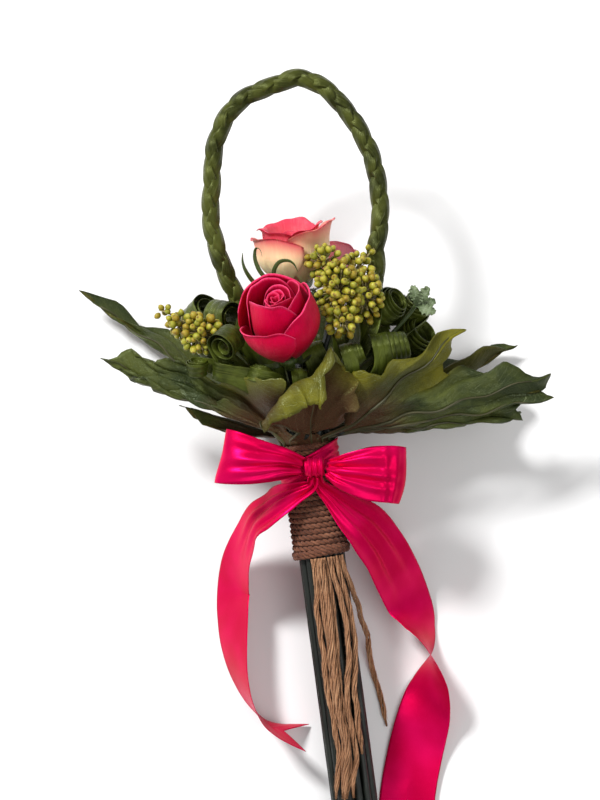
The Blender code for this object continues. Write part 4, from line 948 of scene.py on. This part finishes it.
# ---------------------------------------------------------------- collar leaves
# Each leaf: its place in the binding, the point where the blade opens, and its rays from
# margin to margin: two or three points after that one, as a Bezier curve's controls.  A z of
# None lies on the ground.
COLLAR = {
    "right_front": (0, (20, 9, 12), [
        (22, 28, 30, 27, 49, 36), (30, 28, 38, 49, 48, 39), (38, 28, 40, 73, 58, 38),
        (50, 30, 42, 103, 72, 30), (48, 26, 36, 96, 60, 28), (46, 21, 31, 90, 43, 20),
        (56, 20, 30, 107, 44, 15), (66, 20, 28, 133, 42, 10), (80, 17, 26, 162, 34, 6),
        (78, 13, 22, 154, 26, 4), (80, 10, 18, 162, 20, 3), (70, 10, 14, 143, 15, 2),
        (62, 9, 13, 124, 18, 2), (64, 7, 12, 141, 9, 1), (58, 6, 11, 118, 9, 1),
        (50, 5, 10, 100, 7, 1), (46, 6, 10, 88, 11, 2), (42, 6, 9, 76, 7, 3),
        (36, 15, 10, 61, 15, 5)]),
    "right_back": (11, (18, 8, -12), [
        (52, 7, -13, 104, 12, -12), (72, 4, -20, 143, 9, -24), (62, 5, -26, 118, 14, -34),
        (74, 10, -42, 142, 28, -52), (60, 12, -44, 112, 30, -58), (52, 18, -46, 92, 42, -60),
        (60, 24, -50, 120, 56, -58), (75, 26, -62, 149, 57, -70), (66, 24, -68, 124, 56, -74),
        (54, 20, -68, 96, 52, -79), (46, 22, -64, 84, 50, None), (42, 34, -70, 80, 80, None),
        (34, 30, -64, 56, 62, None)]),
    "back": (10, (6, 9, -20), [
        (22, 12, -54, 42, 30, None), (24, 24, -66, 46, 66, None), (16, 26, -66, 26, 60, -80),
        (5, 34, -78, 8, 112, None), (-4, 26, -68, -14, 66, -80), (-14, 28, -72, -36, 86, None),
        (-14, 20, -62, -32, 48, -76), (-14, 9, -52, -34, 22, None)]),
    "left_back": (8, (-14, 8, -15.6), [
        (-34, 16, -60, -54, 34, None), (-38, 30, -72, -62, 86, None),
        (-42, 32, -70, -76, 62, -80), (-48, 42, -70, -91, 82, -76),
        (-54, 44, -70, -118, 101, -76), (-72, 48, -70, -157, 124, -74),
        (-60, 38, -66, -131, 102, -72), (-54, 33, -62, -110, 86, -69),
        (-46, 26, -56, -90, 68, -63), (-38, 15, -40, -68, 42, -48), (-28, 10, -27, -44, 26, -25),
        (-36, 12, -24, -63, 25, -20), (-42, 13, -22, -74, 26, -19), (-50, 15, -19, -90, 36, -15),
        (-40, 9, -16, -74, 21, -12), (-34, 7, -14, -58, 17, -10), (-24, 8, -11, -41, 12, -8)]),
    "left_front": (5, (-19, 9, 8), [
        (-29, 16, 12, -43, 28, 14), (-37, 19, 15, -61, 37, 12), (-44, 19, 15, -77, 37, 10),
        (-50, 24, 15, -89, 47, 10), (-58, 25, 15, -104, 49, 9), (-64, 28, 15, -113, 57, 8),
        (-58, 31, 13, -100, 58, 8), (-66, 34, 12, -121, 60, 5), (-76, 38, 10, -140, 71, 3),
        (-68, 42, 9, -121, 74, 5), (-62, 40, 9, -109, 67, 6), (-56, 41, 10, -97, 69, 7),
        (-48, 38, 12, -84, 61, 9), (-38, 33, 18, -64, 51, 19), (-31, 30, 28, -48, 50, 31),
        (-25, 30, 34, -32, 49, 40), (-19, 28, 34, -17, 47, 44)]),
    "front": (3, (-5, 9, 20), [
        (-20, 14, 34, -38, 26, 46, -36, 14, 47), (-16, 20, 36, -30, 42, 50, -24, 20, 53),
        (-12, 26, 38, -20, 58, 54, -12, 24, 57), (-8, 30, 40, -8, 68, 54, -2, 29, 58),
        (-4, 34, 40, 0, 74, 53, 7, 27, 58), (0, 36, 38, 8, 80, 50, 9, 40, 55),
        (4, 36, 36, 15, 84, 46, 18, 58, 50), (8, 34, 36, 20, 62, 46, 25, 50, 46),
        (12, 28, 34, 28, 42, 43), (14, 20, 30, 29, 28, 38), (9, 12, 25, 20, 15, 29)]),
}
LEAF_THICK = 0.45
RAY_GAP = 0.8                  # height above the ground of a ray's point that lies on it
RAY_STEPS = 8                  # rows between two rays
MARGIN_SWAY = 2.2              # how far the sides of a leaf's fingers wander
WANDER = 1.6                   # how far its veins wander, and its waves rise
SIDE_LOBES = 2.4               # depth of the soft lobes along its two outer sides
BASE_SPREAD = math.radians(42)  # how far a leaf's foot wraps round the neck to each side
BASE_RINGS = ((16.9, 3.0), (17.6, 6.2))          # the foot's distances from the axis and levels
# Material of the side that faces up, and of the other side
COLLAR_SIDES = {"front": (COLLAR_UNDER, COLLAR_TOP),
                "left_front": (COLLAR_TOP, COLLAR_TOP)}          # its fingers fold over
# The rays between which a leaf has painted sunlight on it, and how strong it is there
SUNLIT_RAYS = {"front": (0.0, 7.5, 0.9), "right_front": (0.0, 5.2, 1.0),
               "left_front": (13.0, 17.0, 0.4)}


def collar_leaf(leaf, index, opening, rays):
    """A lobed leaf: blade through its rays, toothed and wavy at the margin, with its stalk."""
    opening = np.array(opening, float)
    shares = np.concatenate([[0.10, 0.17], np.linspace(0.25, 1.0, 27)])
    grid = np.array([bezier([opening] + [(x, y, laid(y, z, RAY_GAP)) for x, y, z in
                                         zip(ray[::3], ray[1::3], ray[2::3])], shares)
                     for ray in rays])
    turns = BASE_SPREAD * row(len(rays))[0]
    if np.cross(grid[0, 2] - opening, grid[-1, 2] - opening)[1] > 0:
        turns = -turns
    turns += math.atan2(opening[2], opening[0] - SHIFT[0])
    foot = [about_bundle(away, turns, level) for away, level in BASE_RINGS]
    grid = np.concatenate([np.stack(foot, axis=1), grid], axis=1)
    reach = np.linalg.norm(grid[:, -1] - opening, axis=1)
    tips = [k for k in range(len(rays)) if reach[k] == reach[max(k - 1, 0):k + 2].max()]
    blade = catmull(grid, RAY_STEPS)
    rows, columns = blade.shape[:2]
    ray, share, seed = np.arange(rows)[:, None] / RAY_STEPS, row(columns, 0), index * 3.3
    nearest = np.array([min(tips, key=lambda t: abs(r - t)) for r in ray[:, 0]])
    away = np.abs(ray - nearest[:, None])
    across = np.linalg.norm(blade - blade[nearest * RAY_STEPS], axis=2)
    steps = np.linalg.norm(np.diff(blade, axis=1), axis=2)
    length = np.concatenate([np.zeros((rows, 1)), np.cumsum(steps, axis=1)], axis=1)
    out = unit(np.gradient(blade, axis=1))
    normal = unit(np.cross(np.gradient(blade, axis=0), out))
    # The margin's teeth, and the fingers' pointed tips
    saw = 1.3 * (np.abs((ray * 2.9 + seed) % 1.0 - 0.5) * 2 - 0.5) + 2.6 * ripples(ray * 1.7, seed)
    at_tip = np.exp(-(away / 0.22) ** 2) * (away < 0.9)
    blade += out * (share ** 7 * (saw * (1 - at_tip) + 1.2 * at_tip))[..., None]
    # Waves out of the surface, and the fingers' sideways sway
    wave = ripples(ray * 1.35, seed + 5) * 5.0 * share ** 2.5
    wave = wave + WANDER * np.sin(length * 0.12 - ray * 1.1) * ramp(length, 15, 50)
    sway = MARGIN_SWAY * np.sin(math.tau * 0.9 * ray + seed) * share ** 3
    sway = sway + WANDER * np.sin(length * 0.17 + ray * 0.5 + seed) * ramp(length, 20, 60)
    beside = np.exp(-(np.minimum(ray, ray[-1] - ray) / 1.3) ** 2)
    sway = sway + SIDE_LOBES * beside * np.sin(length * 0.24 + seed) * ramp(length, 15, 45)
    blade += np.cross(normal, out) * sway[..., None]
    # The veins' grooves and the quilted surface between them
    quilt = 0.30 * np.abs(np.sin((length - 1.1 * across) * math.pi / VEIN_SPACING))
    quilt -= 0.75 * np.exp(-(across / 2.2) ** 2)
    quilt *= ramp(length, 4, 16) * (1 - share ** 9)
    blade += normal * (wave + quilt)[..., None]
    # Painted sunlight on the rays where the sun falls on the blade, strongest towards its margin
    first, last, bright = SUNLIT_RAYS.get(leaf, (-9.0, -9.0, 0.0))
    tone = (ramp(ray, first - 1, first) - ramp(ray, last, last + 1)) * ramp(length, 32, 58)
    tone = tone * bright * (0.35 + 0.65 * ramp(share, 0.45, 0.95))
    piece = Piece()
    piece.grid(blade, joined(across, length, tone))
    outward = unit(opening - in_bundle((0, opening[1], 0)))
    cut = STEM_END + 3 * (index % 4)
    path = smooth_line([*(slot(OUTER_RING, index, y) for y in (cut, -150, -60, 2.6)),
                        slot(OUTER_RING, index, 6) + outward * 1.6,
                        opening - outward * 1.5 - (0, 0.8, 0), opening], 70)
    travelled = along(path)[1]
    thick = 1.2 + (OUTER_RING[2] * STALK_TRIM - 1.2) * ramp(travelled[-1] - travelled, 0, 10)
    piece.bar(path, thick, 10, 2)
    sides = COLLAR_SIDES.get(leaf, (COLLAR_TOP, COLLAR_UNDER))
    # Whether the surface's own normal points away from the front on the whole
    flip = np.cross(np.gradient(blade, axis=1), np.gradient(blade, axis=0))[..., 2].sum() < 0
    if flip:
        sides = sides[::-1]
    below = normal if flip != (leaf == "front") else -normal
    for tip in tips:
        line = min(tip * RAY_STEPS, rows - 1)
        rib = (blade[line] + below[line] * 0.7)[:int(columns * 0.93)]
        piece.bar(rib, np.linspace(0.95, 0.15, len(rib)), 6, 3)
    piece.build("collar_leaf_" + leaf, "_blade", [*sides, STEM, RIB],
                LEAF_THICK, 1)


# ---------------------------------------------------------------- rolled leaves
# Each rolled leaf: ring, place in the ring and its rolls.  Each roll is its middle, axis,
# radius, width, and the width of the strip that is wound along it
ROLLS = {
    "left_upper": (MIDDLE_RING, 5, [
        ((-54.5, 94.5, -3), (0.75, -0.2, 0.75), 11, 17, 17),
        ((-38, 84, -4), (0.5, 0.7, 0.6), 11, 16, 16)]),
    "left_rear": (OUTER_RING, 7, [
        ((-71, 97, -31), (0.6, 0.5, 0.7), 12, 20, 20),
        ((-62, 80, -14), (0.3, 1.0, 0.3), 12, 22, 11)]),
    "left_lower": (MIDDLE_RING, 3, [
        ((-53, 75, 29), (-0.6, -0.5, 0.75), 11, 15, 15),
        ((-57, 57, 24), (0.25, 1.0, 0.3), 8, 12, 12)]),
    "left_small": (OUTER_RING, 6, [((-74, 61, 25), (0.1, 1.0, 0.4), 7.5, 12, 9)]),
    "under_rose": (OUTER_RING, 4, [((-32, 53, 27), (0.3, 1.0, 0.1), 9, 12, 9)]),
    "front": (MIDDLE_RING, 2, [
        ((-6, 46.5, 31.2), (1.0, 0.1, 0.0), 8.3, 12, 8), ((6, 63, 18), (1.0, 0.5, 0.1), 9, 18, 9)]),
    "right_front": (OUTER_RING, 2, [((31, 60, 27), (1.0, 0.3, 0.1), 9, 16, 9)]),
    "right_coil": (OUTER_RING, 1, [((56, 62, 20), (1.0, 0.15, -0.1), 12, 28, 12)]),
    "right_upper": (MIDDLE_RING, 0, [
        ((58, 92, 4), (0.8, 0.35, 0.6), 12, 22, 14), ((42, 80, 4), (0.8, 0.9, 0.5), 9, 20, 10)]),
    "right_rear": (OUTER_RING, 12, [
        ((75, 69, -18), (0.75, 0.5, 0.55), 13, 24, 13),
        ((76, 88, -24), (0.5, 0.8, 0.5), 11, 22, 12)]),
    "back_left": (MIDDLE_RING, 6, [
        ((-31, 98, -58), (1.0, 0.2, 0.2), 14, 26, 13),
        ((-56, 92, -24), (1.0, 0.3, 0.1), 11, 36, 13),
        ((-34, 76, -14), (1.0, 0.1, 0.0), 11, 34, 13)]),
    "back_low": (OUTER_RING, 9, [((0, 68, -54), (1.0, 0.0, 0.0), 12, 24, 12)]),
    "back_right": (MIDDLE_RING, 7, [
        ((42, 80, -56), (1.0, -0.2, 0.2), 14, 26, 13),
        ((54, 90, -24), (1.0, -0.1, 0.1), 12, 40, 13),
        ((40, 70, -10), (1.0, 0.1, 0.0), 11, 44, 13)]),
}
BARE_SHARE = 0.22              # share of the rise from the bundle that is bare stalk
ROLL_TURNS = 2.6
TURN_STEP = 0.62               # how far one turn moves along a wound roll, in strip widths
ROLL_TIGHTENING = 0.30         # share of the radius lost in one turn of a plain roll
ROLL_FOOT = 1.8                # half width of a blade where its bare stalk ends


def rolled_leaf(leaf, ring, index, rolls):
    """A folded blade that rises on its stalk, in one strip or more, each of them rolled up."""
    piece = Piece()
    for number, (middle, axis, radius, width, strip) in enumerate(rolls):
        middle, axis = np.array(middle, float), unit(axis)
        approach = unit(middle - slot(ring, index, 0.0))
        heading = unit(approach - axis * np.dot(approach, axis))
        outward = np.cross(heading, axis)
        if np.dot(outward, middle) < 0:
            outward = -outward
        shift = width - strip
        touch = middle + outward * radius - axis * shift / 2
        stem = stalk_path(ring, index, touch, heading, 3.0 * (index % 3))
        bare = STRAIGHT_STEPS + int((len(stem) - STRAIGHT_STEPS) * BARE_SHARE)
        if number == 0:
            stalk(piece, stem[:bare + 2], ring[2], 1)
        turns = ROLL_TURNS + shift / (TURN_STEP * strip)
        turn = np.linspace(0, math.tau * turns, int(14 * turns))[1:]
        tight = radius * (1 - ROLL_TIGHTENING * (strip / width) ** 2 * turn / math.tau)
        curl = (middle + outward * (np.cos(turn) * tight)[:, None]
                + heading * (np.sin(turn) * tight)[:, None]
                + axis * ((turn / turn[-1] - 0.5) * shift)[:, None])
        path = smooth_line(np.concatenate([stem[bare:-1:2], curl]), int(50 + 26 * turns))
        ahead, travelled = along(path)
        side = unit(axis - ahead * (ahead @ axis)[:, None])
        rise, travelled = along(stem[bare:])[1][-1], travelled[:, None]
        full = ramp(travelled, 0, rise * 0.55)
        end = ramp(travelled, travelled[-1] * 0.86, travelled[-1])
        swell = 1 + 0.45 * np.exp(-((travelled / rise - 0.62) / 0.25) ** 2)
        wide = (ROLL_FOOT + (strip / 2 - ROLL_FOOT) * full) * (1 - 0.6 * end) * swell
        u = row(17)
        pleat = 0.5 * (np.abs(np.sin(u * 4.0 + 0.6 + index)) ** 0.7 - 0.5) * min(strip / 12, 1.2)
        lift = (pleat - 0.6 * (strip < width) * u) * full
        margin = 1 + 0.06 * ripples(travelled * 0.12, index * 2.0 + radius)
        tone = (index * 0.29 + radius * 0.13) % 1.0
        piece.grid(swept(path, side, np.cross(side, ahead), u * (wide * margin), lift),
                   joined(u * wide, travelled, tone))
    piece.build("rolled_leaf_" + leaf, "_blade", [ROLLED, STEM], LEAF_THICK)


# ---------------------------------------------------------------- braided handle
HANDLE = [(-42.3, 100.5, -12), (-47, 112, -9), (-54, 134, -5), (-58, 160, -5), (-55, 186, -5),
          (-51, 210, -5), (-41, 230, -5), (-27, 242, -5), (-9, 248, -5), (11, 252, -5),
          (28, 243, -5), (37, 232, -5), (46, 218, -5), (55, 195, -5), (58, 171, -5),
          (57, 149, -5), (53, 133, -6), (52, 120, -7), (50, 104, -5)]
BRAID_STRANDS = 3
BRAID_PERIOD = 57.0            # length in which a strand crosses the braid and comes back
BRAID_SWAY = 3.9
BRAID_WEAVE = 1.8
STRIP_WIDE = 5.0               # half its width
STRIP_ROLL = 0.80              # how far a strip turns to the side at the braid's edge
STRIP_THICK = 1.15             # half its thickness
STRIP_FOLD = 1.1               # how far its sides bend back from its middle


def braided_handle():
    """Three folded leaf strips braided flat into a loop."""
    route = smooth_line(HANDLE, 560)
    tangent, travelled = along(route)
    across = unit(np.cross(tangent, FRONT))
    ring = whole_turn(20)
    x, z = np.cos(ring), np.sin(ring)
    ridge = STRIP_THICK * z * (1 + 0.25 * np.cos(x * 7.0)) - STRIP_FOLD * x ** 2
    for strand in range(BRAID_STRANDS):
        turn = math.tau * (travelled / BRAID_PERIOD + strand / BRAID_STRANDS)
        seen = np.sin(2 * turn)
        path = (route + across * (BRAID_SWAY * np.sin(turn))[:, None]
                + FRONT * (BRAID_WEAVE * seen)[:, None])
        ahead = along(path)[0]
        side = unit(np.cross(ahead, FRONT))
        side = turned(side, np.cross(ahead, side), STRIP_ROLL * np.sin(turn))
        wide = STRIP_WIDE * (0.86 + 0.14 * seen + 0.07 * ripples(travelled * 0.11, strand * 4.0))
        wide = wide * (1 - 0.5 * ramp(travelled, travelled[-1] - 8, travelled[-1]))
        piece = Piece()
        piece.grid(swept(path, side, np.cross(side, ahead), x * wide[:, None], ridge[None]),
                   joined(x * STRIP_WIDE, travelled[:, None], 0.3 * strand), wrap=True)
        piece.build(f"handle_braid_strand_{strand + 1}", "_strip", [BRAID])


# ---------------------------------------------------------------- berry sprays and sprig
BERRY = 2.45                   # half width of a berry
BERRY_LONG = 1.28              # its length over its width
BERRY_LEVELS = np.array((0.0, 0.06, 0.2, 0.4, 0.6, 0.78, 0.9, 0.96, 1.0))[:, None]
BERRY_RADII = np.array((0.05, 0.42, 0.78, 0.99, 0.98, 0.76, 0.45, 0.22, 0.03))[:, None]
# Each spray: its place in the middle ring, ellipsoids that its berries lie on, the berries'
# spacing, the twig that reaches furthest, and the seed of its random draws
SPRAYS = {
    "right": (1, (((24, 103, 27), (17, 22, 15)), ((41, 98, 21), (14, 19, 12)),
                  ((16, 124, 22), (13, 13, 10)), ((25, 82, 36), (13, 13, 11)),
                  ((36, 116, 14), (14, 14, 11))), 4.5,
              ((34, 114, 14), (40, 120, 9), (46, 126, 5), (51, 131, 4)), 3),
    "left": (4, (((-70, 83, 14), (15, 15, 11)), ((-84, 90, 8), (11, 11, 9))), 3.85,
             ((-84, 92, 8), (-90, 98, 6), (-98, 102, 5)), 4),
}


def berry(piece, spot, way, size, tone):
    """An egg-shaped berry with a blunt, pinched tip."""
    way = unit(way)
    one = np.array(Vector(way).orthogonal().normalized())
    turn = whole_turn(9)
    lump = 1 + 0.05 * np.cos(3 * turn + 6 * tone)
    points = (spot + way * (BERRY_LEVELS * 2 * size * BERRY_LONG)[..., None]
              + turned(one, np.cross(way, one), turn) * (BERRY_RADII * lump * size)[..., None])
    piece.grid(points, joined(0.0, BERRY_LEVELS, tone + 0 * turn), wrap=True)


def shell(centre, radii, k, count, inner):
    """One of count evenly spread places inside an ellipsoid, and the way out of it there."""
    rise = 1 - 2 * (k + 0.5) / count
    ring = math.sqrt(1 - rise * rise)
    turn = GOLDEN_TURN * k
    way = np.array((ring * math.cos(turn), rise, ring * math.sin(turn)))
    return centre + way * (radii - inner), unit(way / radii)


def berry_spray(side, index, cores, spacing, extra, seed):
    """Many small berries on fine twigs about the ellipsoids in cores."""
    rng = random.Random(seed)

    def jitter(most):
        return np.array([rng.uniform(-most, most) for _ in range(3)])

    piece = Piece()
    cores = [np.array(core, float) for core in cores]
    first = cores[0][0]
    heading = unit(first - slot(MIDDLE_RING, index, 0.0))
    stalk(piece, stalk_path(MIDDLE_RING, index, first, heading, 5), MIDDLE_RING[2], 2, 0.7)
    taken = []
    for core in cores:
        centre, radii = core
        others = [other for other in cores if other is not core]
        piece.bar(bezier((first, (first + centre) / 2 - (0, 3, 2), centre), 8), 1.0, 6, 1)
        area = 4 * math.pi * (np.prod(radii) ** (2 / 3))
        outer = int(area / spacing ** 2 * 1.5)
        for count, inner in ((outer, BERRY * 2.2), (outer // 3, BERRY * 4.6)):
            for k in range(count):
                spot, way = shell(centre, radii, k, count, inner)
                spot = spot + jitter(0.9)
                deep = any(np.linalg.norm((spot - c) / r) < 0.62 for c, r in others)
                if deep or any(np.linalg.norm(spot - t) < spacing * 0.82 for t in taken):
                    continue
                taken.append(spot)
                way = unit(way + jitter(0.45))
                size = BERRY * rng.uniform(0.82, 1.12)
                berry(piece, spot, way, size, rng.random())
                root = centre + (spot - centre) * 0.35
                middle = (root + spot) / 2 - way * 1.2
                piece.bar(bezier((root, middle, spot + way * 0.3), 4), (0.55, 0.45, 0.4, 0.5), 5, 1)
    twig = smooth_line(extra, 14)
    piece.bar(twig, np.linspace(0.9, 0.5, 14), 6, 1)
    for k in range(6):
        spot = twig[7 + k] + jitter(2.2)
        berry(piece, spot, spot - twig[6 + k], BERRY * 0.85, rng.random())
    piece.build("berry_spray_" + side, "_berries", [BERRY_SKIN, TWIG, STEM])


SPRIG_TIP = np.array((76.0, 90.0, -8.0))
SPRIG_LEAVES = [(90, 92, -6), (86, 102, -6), (76, 104, -11), (89, 84, -2), (80, 98, 0)]


def sprig():
    """A small frilly sprig: a stalk with five ruffled leaflets."""
    piece = Piece()
    heading = unit(SPRIG_TIP - slot(MIDDLE_RING, 8, 0.0))
    stalk(piece, stalk_path(MIDDLE_RING, 8, SPRIG_TIP, heading, 8), MIDDLE_RING[2] * 0.9, 1, 0.6)
    for k, end in enumerate(SPRIG_LEAVES):
        spine = bezier((SPRIG_TIP, (SPRIG_TIP + end) / 2 + (0, 0, 2.5), end), 30)
        ahead, travelled = along(spine)
        side = unit(np.cross(ahead, (0.2, 0.1, 1.0)))
        travelled = travelled[:, None]
        share = travelled / travelled[-1]
        wide = 3.6 * np.sin(math.pi * (0.12 + 0.80 * share)) * ramp(share, 0.15, 0.5)
        wide = wide * (1 + 0.22 * np.sin(share * 34 + k)) + 0.5
        u = row(15)
        frill = 1.1 * np.abs(u) ** 2 * np.sin(share * 30 + k) * ramp(share, 0.2, 0.5)
        piece.grid(swept(spine, side, np.cross(side, ahead), u * wide, frill + 0.8 * u ** 2),
                   joined(u * 4, travelled, 0.2 * k))
    piece.build("frilly_sprig", "_leaflets", [FRILL, SEPAL], 0.3)


# ---------------------------------------------------------------- stage
FLOOR = 6.0                    # metres from its middle to its edges
WORLD_LIGHT = 0.36
# Each lamp: its place, its size and its power
LAMPS = {"Key": ((-0.8, 0.85, 1.4), 0.35, 36.0), "Fill": ((0.6, -0.7, 1.7), 1.2, 13.0)}
LIT_SPOT = Vector((0, 0, 0.06))


def stage():
    """A pale floor, soft lights and a bright surrounding."""
    look = Finish("floor", Specular_IOR_Level=0.2)
    clouds = look.noise(3.0, 2.0)
    mesh = bpy.data.meshes.new("floor")
    mesh.from_pydata([(-FLOOR, -FLOOR, 0), (FLOOR, -FLOOR, 0), (FLOOR, FLOOR, 0),
                      (-FLOOR, FLOOR, 0)], [], [(0, 1, 2, 3)])
    mesh.materials.append(look.close(look.mix(clouds, (0.86, 0.86, 0.86), (0.90, 0.90, 0.90)),
                                     clouds, 0.85, 0.95, clouds, 0.05, 0.1, (0.2, 0.8)))
    linked("floor", mesh)
    world = bpy.data.worlds.new("Studio")
    world.use_nodes = True
    background = world.node_tree.nodes["Background"].inputs
    background[0].default_value = (1.0, 1.0, 1.0, 1.0)
    background[1].default_value = WORLD_LIGHT
    bpy.context.scene.world = world
    for name, (at, size, power) in LAMPS.items():
        data = bpy.data.lights.new(name, "AREA")
        data.size = size
        data.energy = power
        lamp = linked(name, data)
        lamp.location = at
        lamp.rotation_euler = (LIT_SPOT - Vector(at)).to_track_quat("-Z", "Y").to_euler()
    bpy.context.scene.view_settings.view_transform = "Standard"


def main():
    camera()
    yarns()
    binding()
    ribbon()
    roses()
    for leaf, (index, opening, rays) in COLLAR.items():
        collar_leaf(leaf, index, opening, rays)
    for leaf, (ring, index, rolls) in ROLLS.items():
        rolled_leaf(leaf, ring, index, rolls)
    braided_handle()
    for side, spray in SPRAYS.items():
        berry_spray(side, *spray)
    sprig()
    stage()
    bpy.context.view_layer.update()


main()
